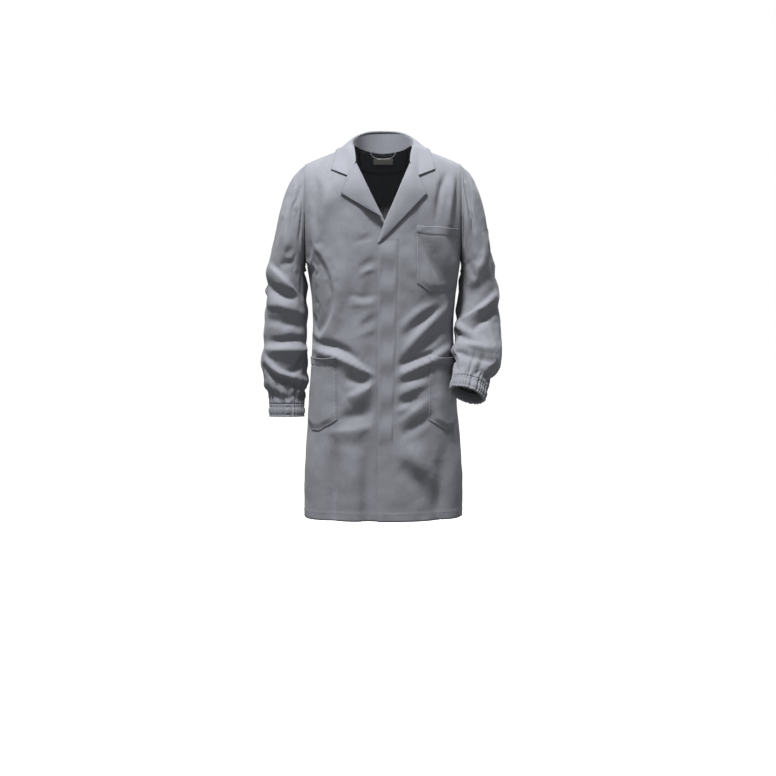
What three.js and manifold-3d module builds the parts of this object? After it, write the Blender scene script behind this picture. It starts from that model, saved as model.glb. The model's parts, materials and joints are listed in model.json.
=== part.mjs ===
// A man's lab coat, worn buttoned: notched lapel collar, hidden button fly, three patch pockets,
// set-in sleeves with elastic cuffs and a vent at the back. Millimetres, +Z up, front towards -Y,
// wearer's left towards +X. The origin is between the shoulders, at the height of the nape.

import * as THREE from 'three';
import { mergeVertices } from 'three/addons/utils/BufferGeometryUtils.js';
import Module from 'manifold-3d';

// ---- driving dimensions ----------------------------------------------------------------------

const clothThickness = 1.2; // a seamed panel with its turnings
const stripThickness = 1.0; // facings and the buttonhole strip
const foldThickness = 1.8; // collar and lapels, two plies and an interlining
const halfGap = 0.3; // half of the gap left where two panels are sewn together

const hemHeight = -965;
const breakHeight = -247; // where the lapels start to roll
const underarmHeight = -300;
const waistHeight = -420;
const ventTopHeight = -600;

const frontEdgeX = -13; // the left front's edge, lying over the right front
const underlapX = 30; // how far the right front reaches beneath the left one
const tuckDepth = 9; // how far the underlap lies behind the left front
const armholeX = 203;
const ventOverlap = 20; // each side of the middle of the back
const ventDepth = 4;

const neckHalfWidth = 75;
const neckBackDepth = 62;
const shoulderNeckHeight = 5;
const shoulderRounding = 130; // height over which the chest curves back to the shoulder seam
const sectionPower = 2.5; // a body section rounder than a box and squarer than an ellipse

// height, half width and half depth of the coat's body
const bodyLevels = [
  [hemHeight, 206, 150],
  [-740, 200, 147],
  [-530, 185, 141],
  [waistHeight, 187, 139],
  [underarmHeight, 203, 143],
  [-180, 219, 140],
  [40, 232, 122],
];

const buttonCount = 6;
const buttonPitch = 92;
const firstButtonHeight = -272;
const buttonX = 12;
const buttonRadius = 8;
const buttonThickness = 2.6;
const buttonDepth = 3.4; // the button's middle lies this far behind the left front
const stripDepth = 6.6;
const shankRadius = 1.3;
const holeLength = 18;
const holeWidth = 4;
const flyWidth = 50;
const flyBottomHeight = -762;

const chestPouch = 14; // how far a filled pocket stands off the coat
const hipPouch = 18;
const pouchEdge = 1.9;
const pouchSlope = 14; // width of the edge over which it rises
const pouchSideSlope = 42; // the same on the side that the arm hangs by

const cuffHeight = 34;
const elasticHeight = 24;
const sleeveWall = 1.2;

// ---- colours ---------------------------------------------------------------------------------

const coatGrey = 0x8b8d94;
const innerGrey = 0x6b6c73;
const buttonGrey = 0x55575e;
const elasticWhite = 0xe6e5e0;
const labelWhite = 0xf0efeb;

// ---- small helpers ---------------------------------------------------------------------------

const { lerp, clamp, smoothstep } = THREE.MathUtils;
const coat = new THREE.Group();

function interpolate(levels, height, column) {
  // A smooth curve through the levels: each stretch is a cubic whose slopes come from its neighbours.
  let i = 0;
  while (i < levels.length - 2 && height > levels[i + 1][0]) i += 1;
  const slopeAt = (k) => {
    const below = levels[Math.max(k - 1, 0)];
    const above = levels[Math.min(k + 1, levels.length - 1)];
    return (above[column] - below[column]) / (above[0] - below[0]);
  };
  const [low, high] = [levels[i], levels[i + 1]];
  const span = high[0] - low[0];
  const t = clamp((height - low[0]) / span, 0, 1);
  const rise = high[column] - low[column];
  const cubic = t * t * (3 - 2 * t);
  const startBend = slopeAt(i) * span * t * (1 - t) * (1 - t);
  const endBend = slopeAt(i + 1) * span * t * t * (1 - t);
  return low[column] + rise * cubic + startBend - endBend;
}

function outward(geometry) {
  // Shared corners are merged, and the faces are turned over if the solid is inside out.
  geometry.deleteAttribute('normal');
  geometry.deleteAttribute('uv');
  const merged = mergeVertices(geometry, 1e-3);
  const place = merged.getAttribute('position');
  const index = merged.getIndex();
  const corner = (i) => new THREE.Vector3().fromBufferAttribute(place, index.getX(i));
  let volume = 0;
  for (let i = 0; i < index.count; i += 3) volume += corner(i).dot(corner(i + 1).cross(corner(i + 2)));
  if (volume < 0) {
    for (let i = 0; i < index.count; i += 3) {
      const first = index.getX(i);
      index.setX(i, index.getX(i + 1));
      index.setX(i + 1, first);
    }
  }
  merged.computeVertexNormals();
  return merged;
}

function add(name, geometry, color, roughness = 0.9) {
  const material = new THREE.MeshStandardMaterial({ color, roughness, metalness: 0 });
  const mesh = new THREE.Mesh(geometry, material);
  mesh.name = name;
  coat.add(mesh);
  return mesh;
}

function normalOf(pointAt, s, t, centre) {
  // The direction square to the surface, on the side away from the centre.
  const step = 0.004;
  const [s0, s1] = [Math.max(s - step, 0), Math.min(s + step, 1)];
  const [t0, t1] = [Math.max(t - step, 0), Math.min(t + step, 1)];
  const across = pointAt(s1, t).sub(pointAt(s0, t));
  const along = pointAt(s, t1).sub(pointAt(s, t0));
  const normal = across.cross(along).normalize();
  const away = pointAt(s, t).sub(centre);
  return normal.dot(away) < 0 ? normal.negate() : normal;
}

const bodyCentre = new THREE.Vector3(0, 0, -260);

function sheet(columns, rows, thickness, pointAt, offsetAt = () => 0) {
  // A flat grid of cloth, one box thick, laid on a surface. offsetAt lifts it off that surface.
  const geometry = new THREE.BoxGeometry(1, 1, 1, columns, rows, 1);
  const place = geometry.getAttribute('position');
  for (let i = 0; i < place.count; i += 1) {
    const s = place.getX(i) + 0.5;
    const t = place.getY(i) + 0.5;
    const point = pointAt(s, t);
    const centre = new THREE.Vector3(0, 0, Math.min(point.z, bodyCentre.z));
    const lift = offsetAt(s, t, point) + place.getZ(i) * thickness;
    point.addScaledVector(normalOf(pointAt, s, t, centre), lift);
    place.setXYZ(i, point.x, point.y, point.z);
  }
  return outward(geometry);
}

// ---- the body's surface ----------------------------------------------------------------------

function shoulderLine(x) {
  const out = Math.max(Math.abs(x) - neckHalfWidth, 0);
  return shoulderNeckHeight - 0.3 * out - 0.0006 * out * out;
}

function sectionDepth(x, z) {
  const share = Math.min(Math.abs(x) / interpolate(bodyLevels, z, 1), 1);
  return interpolate(bodyLevels, z, 2) * (1 - share ** sectionPower) ** (1 / sectionPower);
}

function shoulderCurve(x, z) {
  const left = clamp(1 - (shoulderLine(x) - z) / shoulderRounding, 0, 1);
  return Math.sqrt(1 - left * left);
}

function onBody(side, x, z) {
  // side is -1 for the front of the coat and 1 for its back
  return new THREE.Vector3(x, side * sectionDepth(x, z) * shoulderCurve(x, z), z);
}

function overShoulder(x, y) {
  // The height of the same surface, above a point of the plan near the neck.
  const share = Math.min(Math.abs(y) / sectionDepth(x, -40), 1);
  return shoulderLine(x) - shoulderRounding * (1 - Math.sqrt(1 - share * share));
}

function sideEdge(z) {
  // The side seam below the arm, and the armhole above it.
  return z < underarmHeight ? interpolate(bodyLevels, z, 1) - 0.001 : armholeX - halfGap;
}

function panelPoint(side, innerEdge, topAngle) {
  // A body panel: s runs from its inner edge to its side edge, t from the hem to its top edge.
  const roundShare = 0.28; // the share of the rows that goes to the rounding of the shoulder
  const acrossAt = (s, z) => lerp(innerEdge(z), sideEdge(z), Math.sin((s * Math.PI) / 2));
  return (s, t) => {
    let top = shoulderLine(acrossAt(s, 0));
    for (let turn = 0; turn < 6; turn += 1) top = shoulderLine(acrossAt(s, top));
    const angle = (Math.max(t - 1 + roundShare, 0) / roundShare) * topAngle(acrossAt(s, top));
    const straight = Math.min(t / (1 - roundShare), 1);
    const z =
      t < 1 - roundShare
        ? lerp(hemHeight, top - shoulderRounding, straight)
        : top - shoulderRounding * (1 - Math.sin(angle));
    const point = onBody(side, acrossAt(s, z), z);
    point.y += side * halfGap;
    return point;
  };
}

function mirrored(pointAt) {
  return (s, t) => {
    const point = pointAt(s, t);
    point.x = -point.x;
    return point;
  };
}

function polyline(points, z) {
  // x at height z on a line of straight stretches, listed from the lowest point up
  let i = 0;
  while (i < points.length - 2 && z > points[i + 1][1]) i += 1;
  const [[x0, z0], [x1, z1]] = [points[i], points[i + 1]];
  return lerp(x0, x1, clamp((z - z0) / (z1 - z0), 0, 1));
}

// ---- fronts ----------------------------------------------------------------------------------

const rollTop = [neckHalfWidth, shoulderNeckHeight];
const vBottom = [5, -192];
const leftRoll = [[frontEdgeX, breakHeight], vBottom, [73, -36], rollTop];
const rightRoll = [[-underlapX, breakHeight], [-vBottom[0], vBottom[1]], [73, -30], rollTop];
const leftEdge = (z) => polyline(leftRoll, z);
const rightEdge = (z) => polyline(rightRoll, z); // for the mirrored panel

const toSeam = () => Math.PI / 2 - 0.004;
const leftFront = panelPoint(-1, leftEdge, toSeam);
const rightFront = mirrored(panelPoint(-1, rightEdge, toSeam));

function tuck(s, t, point) {
  // The right front sinks behind the left one where they overlap.
  return -tuckDepth * smoothstep(point.x, -95, -25) * smoothstep(-point.z, 60, 190);
}

add('left_front', sheet(10, 22, clothThickness, leftFront), coatGrey);
add('right_front', sheet(10, 22, clothThickness, rightFront, tuck), coatGrey);

// Each facing backs its front from the edge to a line further in.
const facingDepth = 3.2;
const facingWidth = 62;
const facingTopHeight = -50; // it stops short of the shoulder seam

function facingPoint(innerEdge) {
  const outerAt = (z) => innerEdge(z) + facingWidth;
  return (s, t) => {
    const z = lerp(hemHeight + 4, facingTopHeight, t);
    return onBody(-1, lerp(innerEdge(z), outerAt(z), s), z);
  };
}

const leftFacingEdge = (z) => Math.max(leftEdge(z) + 4, frontEdgeX + flyWidth + 4);
const rightFacingEdge = (z) => rightEdge(z) + 3;
add('left_facing', sheet(3, 22, stripThickness, facingPoint(leftFacingEdge), () => -facingDepth), innerGrey);
const rightFacing = mirrored(facingPoint(rightFacingEdge));
const rightFacingLift = (s, t, point) => tuck(s, t, point) - facingDepth;
add('right_facing', sheet(4, 22, stripThickness, rightFacing, rightFacingLift), innerGrey);

// ---- hidden fly ------------------------------------------------------------------------------

const wasm = await Module();
wasm.setup();

function solidOf(geometry) {
  const clean = outward(geometry);
  return new wasm.Manifold(
    new wasm.Mesh({
      numProp: 3,
      vertProperties: Float32Array.from(clean.getAttribute('position').array),
      triVerts: Uint32Array.from(clean.getIndex().array),
    }),
  );
}

function geometryOf(solid) {
  const mesh = solid.getMesh();
  const geometry = new THREE.BufferGeometry();
  geometry.setAttribute('position', new THREE.BufferAttribute(mesh.vertProperties, 3));
  geometry.setIndex(new THREE.BufferAttribute(mesh.triVerts, 1));
  return outward(geometry);
}

const buttonHeights = Array.from({ length: buttonCount }, (_, i) => firstButtonHeight - i * buttonPitch);

function behindFront(x, z, depth) {
  // A point at a depth behind the left front, with the direction that the front faces there.
  const surface = (s, t) => onBody(-1, x + s - 0.5, z + t - 0.5);
  const normal = normalOf(surface, 0.5, 0.5, new THREE.Vector3(0, 0, z));
  return { point: onBody(-1, x, z).addScaledVector(normal, -depth), normal };
}

function facingOut(geometry, x, z, depth) {
  // A cylinder or box standing along Y is laid against the front's surface.
  const { point, normal } = behindFront(x, z, depth);
  const turn = new THREE.Quaternion().setFromUnitVectors(new THREE.Vector3(0, -1, 0), normal);
  geometry.applyQuaternion(turn);
  geometry.translate(point.x, point.y, point.z);
  return geometry;
}

const flyTopHeight = breakHeight + 9;
const flyPoint = (s, t) =>
  onBody(-1, lerp(frontEdgeX + 2, frontEdgeX + flyWidth, s), lerp(flyBottomHeight, flyTopHeight, t));
let strip = solidOf(sheet(3, 16, stripThickness, flyPoint, () => -stripDepth));
for (const z of buttonHeights) {
  const hole = new THREE.BoxGeometry(holeLength, 8, holeWidth);
  strip = strip.subtract(solidOf(facingOut(hole, buttonX, z, stripDepth)));
}
add('buttonhole_strip', geometryOf(strip), coatGrey);

function buttonGeometry(z) {
  // A flat disc with four sewing holes.
  let disc = solidOf(new THREE.CylinderGeometry(buttonRadius, buttonRadius, buttonThickness, 24));
  for (const [dx, dz] of [[-1, -1], [-1, 1], [1, -1], [1, 1]]) {
    const hole = new THREE.CylinderGeometry(0.9, 0.9, buttonThickness * 2, 8);
    hole.translate(dx * 1.7, 0, dz * 1.7);
    disc = disc.subtract(solidOf(hole));
  }
  return outward(facingOut(geometryOf(disc), buttonX, z, buttonDepth));
}

const shankTop = buttonDepth + buttonThickness / 2 + 0.3;
const shankBottom = tuckDepth - clothThickness / 2 - 0.5;
buttonHeights.forEach((z, i) => {
  add(`button_${i + 1}`, buttonGeometry(z), buttonGrey, 0.4);
  const shank = new THREE.CylinderGeometry(shankRadius, shankRadius, shankBottom - shankTop, 8);
  const depth = (shankTop + shankBottom) / 2;
  add(`button_thread_${i + 1}`, outward(facingOut(shank, buttonX, z, depth)), coatGrey);
});

// ---- backs -----------------------------------------------------------------------------------

function neckAngle(x) {
  // Near the middle the back stops at the neck hole, an ellipse in plan.
  const across = Math.min(Math.abs(x) / neckHalfWidth, 1);
  const depth = neckBackDepth * Math.sqrt(1 - across * across);
  return Math.acos(clamp(depth / sectionDepth(x, -20), 0.004, 1));
}

const vent = (z) => smoothstep(ventTopHeight - z, 0, 12);
const leftBackEdge = (z) => lerp(halfGap, -ventOverlap, vent(z));
const rightBackEdge = (z) => lerp(halfGap, -ventOverlap, vent(z));
const leftBack = panelPoint(1, leftBackEdge, neckAngle);
const rightBack = mirrored(panelPoint(1, rightBackEdge, neckAngle));

function ventTuck(s, t, point) {
  const share = smoothstep(point.x, -60, -ventOverlap);
  return -ventDepth * share * smoothstep(ventTopHeight + 80 - point.z, 0, 70);
}

add('left_back', sheet(10, 26, clothThickness, leftBack), coatGrey);
add('right_back', sheet(10, 26, clothThickness, rightBack, ventTuck), coatGrey);

// ---- neck ------------------------------------------------------------------------------------

function neckSeam(angle) {
  // Around the neck hole, from the front (0) past the side (90 degrees) to the middle of the back (180).
  const x = neckHalfWidth * Math.sin(angle);
  const y = -neckBackDepth * Math.cos(angle);
  return new THREE.Vector3(x, y, overShoulder(x, y));
}

// The back neck facing lines the back below the neck seam.
const neckFacingWidth = 50;
const neckFacingPoint = (s, t) => {
  const x = lerp(-62, 62, s);
  const reach = Math.sqrt(1 - (x / neckHalfWidth) ** 2) * neckBackDepth;
  const top = overShoulder(x, reach) - 2;
  return onBody(1, x, lerp(top - neckFacingWidth, top, t));
};
add('back_neck_facing', sheet(8, 4, stripThickness, neckFacingPoint, () => -facingDepth), innerGrey);

// The collar's fold line, from the left lapel's roll line around the back of the neck.
const foldLine = new THREE.CatmullRomCurve3(
  [
    [-71, -74, -42],
    [-80, -36, -4],
    [-80, 8, 24],
    [-48, 50, 43],
    [0, 66, 47],
    [48, 50, 43],
    [80, 8, 24],
    [80, -36, -4],
    [71, -74, -42],
  ].map(([x, y, z]) => new THREE.Vector3(x, y, z)),
);

function standBottom(u) {
  const angle = lerp(62, 298, u) * (Math.PI / 180);
  return neckSeam(angle).add(new THREE.Vector3(0, 0, 4));
}

const standPoint = (s, t) => {
  const top = foldLine.getPoint(1 - lerp(0.07, 0.93, s));
  top.x *= 0.94;
  top.y -= 2;
  top.z -= 5;
  return standBottom(s).lerp(top, t);
};
add('collar_stand', sheet(20, 3, stripThickness, standPoint), innerGrey);

// The collar's outer edge lies on the coat, from leaf tip to leaf tip.
const leafTip = [134, -60];
const notchInner = [91, -78];
const edgePlan = new THREE.SplineCurve(
  [
    [-leafTip[0], onBody(-1, ...leafTip).y],
    [-124, -40],
    [-116, 6],
    [-96, 52],
    [-56, 80],
    [0, 90],
    [56, 80],
    [96, 52],
    [116, 6],
    [124, -40],
    [leafTip[0], onBody(-1, ...leafTip).y],
  ].map(([x, y]) => new THREE.Vector2(x, y)),
);
const collarLift = 4.5;

function aboveCoat(x, y, lift) {
  // A height that clears the coat both upwards and outwards.
  const inward = Math.sign(y) * Math.max(Math.abs(y) - lift, 0);
  return overShoulder(x, inward) + lift;
}

const fallPoint = (s, t) => {
  const fold = foldLine.getPoint(s);
  const plan = edgePlan.getPoint(s);
  // The leaf's front edge is hollow where the notch is cut.
  const front = smoothstep(Math.abs(s - 0.5), 0.4, 0.5);
  const hollow = Math.sin(Math.PI * t) * front;
  const x = lerp(fold.x, plan.x, t) * (1 - hollow * 0.12);
  const y = lerp(fold.y, plan.y, t) - hollow * 26;
  const resting = aboveCoat(x, y, collarLift);
  const hanging = lerp(fold.z, aboveCoat(plan.x, plan.y, collarLift), t ** 1.3);
  return new THREE.Vector3(x, y, Math.max(resting, hanging));
};
add('collar_fall', sheet(26, 5, foldThickness, fallPoint), coatGrey);

// ---- lapels ----------------------------------------------------------------------------------

function bentLine(from, corner, to, share, t) {
  return t < share ? from.clone().lerp(corner, t / share) : corner.clone().lerp(to, (t - share) / (1 - share));
}

function lapelPoint(roll, tip) {
  const rollStart = new THREE.Vector2(...roll[0]);
  const rollBend = new THREE.Vector2(...roll[1]);
  const rollEnd = new THREE.Vector2(74, -58);
  const start = new THREE.Vector2(roll[0][0] + 4, roll[0][1] + 2);
  const notch = new THREE.Vector2(notchInner[0], notchInner[1] - 12);
  const point = new THREE.Vector2(...tip);
  return (s, t) => {
    const inner = bentLine(rollStart, rollBend, rollEnd, 0.3, t);
    const outer = bentLine(start, point, notch, 0.8, t);
    const at = inner.lerp(outer, s);
    return onBody(-1, at.x + 1, at.y);
  };
}

const lapelLift = 4.2;
const leftLapel = lapelPoint(leftRoll, [111, -121]);
const rightLapelRoll = [[-1, -184], [1, -180]];
const rightLapel = mirrored(lapelPoint(rightLapelRoll, [106, -121]));
add('left_lapel', sheet(5, 10, foldThickness, leftLapel, () => lapelLift), coatGrey);
add('right_lapel', sheet(5, 10, foldThickness, rightLapel, () => lapelLift), coatGrey);

// ---- label and hanger loop -------------------------------------------------------------------

const backInside = overShoulder(0, neckBackDepth);
const labelSize = [52, 0.8, 20];
const labelTop = backInside - 12;
const labelY = onBody(1, 0, labelTop).y - facingDepth - 7;
const label = new THREE.BoxGeometry(...labelSize);
const labelLean = onBody(1, 0, labelTop - labelSize[2]).y - onBody(1, 0, labelTop).y;
const labelTilt = Math.atan2(labelLean, labelSize[2]);
label.rotateX(labelTilt);
label.translate(0, labelY + 4, labelTop - labelSize[2] / 2);
add('neck_label', outward(label), labelWhite);

const loopHalfWidth = 34;
const loopDrop = 20;
const loopY = 46;
const loopZ = backInside + 6;
const loopPath = new THREE.CatmullRomCurve3(
  [
    [-loopHalfWidth, 0],
    [-loopHalfWidth + 5, -loopDrop * 0.7],
    [-loopHalfWidth / 2, -loopDrop],
    [loopHalfWidth / 2, -loopDrop],
    [loopHalfWidth - 5, -loopDrop * 0.7],
    [loopHalfWidth, 0],
  ].map(([x, z]) => new THREE.Vector3(x, loopY, loopZ + z)),
);
const strap = new THREE.Shape();
strap.moveTo(-2.5, -0.7);
strap.lineTo(2.5, -0.7);
strap.lineTo(2.5, 0.7);
strap.lineTo(-2.5, 0.7);
strap.closePath();
const loop = new THREE.ExtrudeGeometry(strap, { steps: 18, extrudePath: loopPath, bevelEnabled: false });
add('hanger_loop', outward(loop), innerGrey);

// ---- pockets ---------------------------------------------------------------------------------

function pocketPoint({ xInner, xOuter, widest, top, topDrop, bottom, chamfer }) {
  // s runs outwards from the pocket's inner edge, t from its lower edge to its mouth.
  return (s, t) => {
    const width = xOuter - xInner;
    const cut = Math.max(0, 1 - (s * width) / chamfer, 1 - ((1 - s) * width) / chamfer);
    const low = bottom + cut * chamfer;
    const z = lerp(low, top - topDrop * s, t);
    const outer = Math.min(xOuter, widest * interpolate(bodyLevels, z, 1));
    return onBody(-1, lerp(xInner, outer, Math.sin((s * Math.PI) / 2)), z);
  };
}

function pouch({ xInner, xOuter, top, bottom, depth }) {
  return (s, t) => {
    const width = xOuter - xInner;
    const fromInner = smoothstep(s * width, 0, pouchSlope);
    const fromOuter = smoothstep((1 - s) * width, 0, pouchSideSlope);
    const rise = fromInner * fromOuter * smoothstep(t * (top - bottom), 0, pouchSlope);
    return lerp(pouchEdge, depth, rise);
  };
}

function addPocket(name, size, mirror) {
  const place = pocketPoint(size);
  const surface = mirror ? mirrored(place) : place;
  add(name, sheet(12, 10, clothThickness, surface, pouch(size)), coatGrey);
}

// widest is the share of the coat's half width that the outer edge may reach
const chestPocket = {
  xInner: 87,
  xOuter: 194,
  widest: 0.955,
  top: -203,
  topDrop: 10,
  bottom: -374,
  chamfer: 24,
  depth: chestPouch,
};
const hipPocket = {
  xInner: 118,
  xOuter: 197,
  widest: 0.985,
  top: -541,
  topDrop: 2,
  bottom: -734,
  chamfer: 32,
  depth: hipPouch,
};
addPocket('chest_pocket', chestPocket, false);
addPocket('left_hip_pocket', hipPocket, false);
addPocket('right_hip_pocket', hipPocket, true);

// ---- sleeves ---------------------------------------------------------------------------------

function curve(points) {
  return new THREE.CatmullRomCurve3(points.map(([x, y, z]) => new THREE.Vector3(x, y, z)));
}

// The line down the outside of each arm, and the line down its inside, paired point by point.
const hangingSleeve = {
  outer: curve([
    [204, 0, -46],
    [240, 0, -78],
    [266, 0, -135],
    [286, 0, -210],
    [302, 2, -291],
    [314, 4, -397],
    [317, 2, -503],
    [311, -4, -590],
    [299, -10, -672],
  ]),
  inner: curve([
    [204, 0, -299],
    [206, 0, -301],
    [208, 0, -304],
    [209, 0, -309],
    [209, 2, -330],
    [203, 4, -400],
    [201, 2, -503],
    [205, -4, -590],
    [212, -10, -672],
  ]),
  depths: [72, 76, 74, 71, 66, 60, 56, 50, 37],
};
const bentSleeve = {
  outer: curve([
    [204, 0, -46],
    [238, 0, -78],
    [260, 0, -135],
    [278, 0, -205],
    [294, 2, -291],
    [306, 6, -385],
    [307, 0, -470],
    [297, -48, -565],
    [262, -100, -632],
  ]),
  inner: curve([
    [204, 0, -299],
    [206, 0, -301],
    [208, 0, -304],
    [209, 0, -309],
    [209, 2, -330],
    [202, 2, -390],
    [197, -22, -450],
    [196, -86, -520],
    [184, -134, -588],
  ]),
  depths: [72, 76, 74, 71, 66, 60, 56, 50, 37],
};

function sleeveRing(sleeve, v) {
  // The middle, the two axes and the direction of the sleeve at a share v of its length.
  const at = (share) => {
    const outer = sleeve.outer.getPoint(share);
    const inner = sleeve.inner.getPoint(share);
    return { middle: outer.clone().lerp(inner, 0.5), across: outer.sub(inner) };
  };
  const here = at(v);
  const next = at(Math.min(v + 0.01, 1)).middle.sub(at(Math.max(v - 0.01, 0)).middle);
  const halfWidth = here.across.length() / 2;
  const wide = here.across.normalize();
  const forward = next.cross(wide).normalize();
  if (forward.y > 0) forward.negate();
  const place = v * (sleeve.depths.length - 1);
  const low = Math.min(Math.floor(place), sleeve.depths.length - 2);
  const halfDepth = lerp(sleeve.depths[low], sleeve.depths[low + 1], place - low);
  return { middle: here.middle, wide, forward, halfWidth, halfDepth };
}

function wall(profile, segments, placeAt) {
  // A closed outline (share along, depth into the wall) turned into a tube by LatheGeometry.
  const outline = profile.map(([along, depth]) => new THREE.Vector2(100 - depth, along));
  const geometry = new THREE.LatheGeometry(outline, segments);
  const place = geometry.getAttribute('position');
  for (let i = 0; i < place.count; i += 1) {
    const [x, y, z] = [place.getX(i), place.getY(i), place.getZ(i)];
    const point = placeAt(Math.atan2(z, x), y, 100 - Math.hypot(x, z));
    place.setXYZ(i, point.x, point.y, point.z);
  }
  return outward(geometry);
}

function onSleeve(sleeve, angle, v, depth) {
  const ring = sleeveRing(sleeve, clamp(v, 0, 1));
  return ring.middle
    .addScaledVector(ring.wide, Math.cos(angle) * (ring.halfWidth - depth))
    .addScaledVector(ring.forward, Math.sin(angle) * (ring.halfDepth - depth));
}

const sleeveRows = 16;
const sleeveProfile = [];
for (let i = 0; i <= sleeveRows; i += 1) sleeveProfile.push([i / sleeveRows, 0]);
for (let i = sleeveRows; i >= 0; i -= 1) sleeveProfile.push([i / sleeveRows, sleeveWall]);
sleeveProfile.push([0, 0]);

function cuffPlace(sleeve, angle, drop, depth) {
  // drop is a distance past the sleeve's end, along the arm
  const ring = sleeveRing(sleeve, 1);
  const along = ring.forward.clone().cross(ring.wide).normalize();
  if (along.z > 0) along.negate();
  return ring.middle
    .addScaledVector(ring.wide, Math.cos(angle) * (ring.halfWidth - depth))
    .addScaledVector(ring.forward, Math.sin(angle) * (ring.halfDepth - depth))
    .addScaledVector(along, drop);
}

function closed(points) {
  return [...points, points[0]];
}

// The cuff's casing is folded up inside itself and holds the elastic between its two plies.
const casingDepth = 5;
const casing = closed([
  [0.6, 0],
  [cuffHeight, 0.6],
  [cuffHeight, casingDepth],
  [4, casingDepth],
  [4, casingDepth - 1],
  [cuffHeight - 1.4, casingDepth - 1],
  [cuffHeight - 1.4, 1.6],
  [0.6, 1],
]);
const elasticTop = cuffHeight - 3 - elasticHeight;
const elastic = closed([
  [elasticTop, 2.2],
  [elasticTop + elasticHeight, 2.2],
  [elasticTop + elasticHeight, 3.4],
  [elasticTop, 3.4],
]);

function addSleeve(side, sleeve, mirror) {
  const flip = (point) => {
    if (mirror) point.x = -point.x;
    return point;
  };
  const tube = wall(sleeveProfile, 20, (angle, v, depth) => flip(onSleeve(sleeve, angle, v, depth)));
  add(`${side}_sleeve`, tube, coatGrey);
  const cuff = wall(casing, 20, (angle, drop, depth) => flip(cuffPlace(sleeve, angle, drop, depth)));
  add(`${side}_cuff_casing`, cuff, coatGrey);
  const band = wall(elastic, 20, (angle, drop, depth) => flip(cuffPlace(sleeve, angle, drop, depth)));
  add(`${side}_cuff_elastic`, band, elasticWhite);
}

addSleeve('left', bentSleeve, false);
addSleeve('right', hangingSleeve, true);

export default coat;
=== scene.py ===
# %% [markdown]
# # A man's lab coat
# A work coat of polycotton twill, buttoned up and shown in the shape it has when worn, with nobody
# in it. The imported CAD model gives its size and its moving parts. This lesson makes the cloth: the
# body and sleeves are cut larger than the shape they hang in and are draped by cloth simulation, and
# the collar, pockets, hems and stitches are then laid on the draped cloth.

import json
import math
import time

import bmesh
import bpy
import numpy as np
from mathutils import Matrix, Vector, kdtree, noise

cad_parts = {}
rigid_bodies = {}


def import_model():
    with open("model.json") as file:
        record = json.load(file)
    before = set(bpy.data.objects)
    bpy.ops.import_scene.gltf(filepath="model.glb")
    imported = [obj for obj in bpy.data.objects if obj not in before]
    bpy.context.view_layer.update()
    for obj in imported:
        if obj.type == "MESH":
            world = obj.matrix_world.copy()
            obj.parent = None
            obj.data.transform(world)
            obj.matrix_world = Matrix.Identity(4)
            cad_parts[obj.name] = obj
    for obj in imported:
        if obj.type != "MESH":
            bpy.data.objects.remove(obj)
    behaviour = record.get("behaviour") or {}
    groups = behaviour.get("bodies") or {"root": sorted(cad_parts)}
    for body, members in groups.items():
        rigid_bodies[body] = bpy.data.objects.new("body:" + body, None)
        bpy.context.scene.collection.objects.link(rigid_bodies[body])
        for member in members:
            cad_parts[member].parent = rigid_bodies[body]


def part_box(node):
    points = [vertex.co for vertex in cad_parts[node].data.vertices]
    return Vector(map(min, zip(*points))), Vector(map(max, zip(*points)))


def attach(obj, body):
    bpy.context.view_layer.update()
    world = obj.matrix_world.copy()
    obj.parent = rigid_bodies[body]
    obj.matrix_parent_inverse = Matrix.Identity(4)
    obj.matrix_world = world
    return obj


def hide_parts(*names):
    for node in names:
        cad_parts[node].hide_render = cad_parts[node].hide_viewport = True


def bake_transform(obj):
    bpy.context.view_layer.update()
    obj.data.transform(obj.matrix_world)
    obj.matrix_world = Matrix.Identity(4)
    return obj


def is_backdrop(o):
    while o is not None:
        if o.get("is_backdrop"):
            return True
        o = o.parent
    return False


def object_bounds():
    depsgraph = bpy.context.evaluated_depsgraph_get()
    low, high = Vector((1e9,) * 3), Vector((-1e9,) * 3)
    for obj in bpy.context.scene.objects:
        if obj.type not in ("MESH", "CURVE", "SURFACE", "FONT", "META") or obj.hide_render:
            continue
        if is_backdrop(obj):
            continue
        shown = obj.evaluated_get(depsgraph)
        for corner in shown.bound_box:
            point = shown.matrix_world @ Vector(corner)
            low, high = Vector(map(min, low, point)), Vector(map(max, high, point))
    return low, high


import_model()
cad_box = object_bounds()
MM = 0.001
print("the coat's CAD box, m:", [[round(v, 3) for v in corner] for corner in cad_box])

# %% [markdown]
# ## The shape the coat hangs in
# A coat on a body is a tube that is wider than deep. Its section is a superellipse, rounder than a
# box and squarer than an ellipse, and its width and depth change with height. Above the chest the
# surface curves back to the shoulder seams. The same few sizes shaped the CAD panels, so every piece
# made here falls in its place.

# %% The body's outline, in millimetres
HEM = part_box("left_front")[0][2] / MM
UNDERARM = -300
BREAK = -247
FRONT_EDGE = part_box("left_front")[0][0] / MM
ARMHOLE = 203
NECK_HALF_WIDTH = 75
NECK_DEPTH = 62
SHOULDER_AT_NECK = 5
SHOULDER_ROUND = 130
SECTION_POWER = 2.5
ROUND_SHARE = 0.28
# height, half width, half depth
LEVELS = np.array(
    [
        (-965, 206, 150),
        (-740, 200, 147),
        (-530, 185, 141),
        (-420, 187, 139),
        (-300, 203, 143),
        (-180, 219, 140),
        (40, 232, 122),
    ],
    dtype=float,
)


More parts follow.
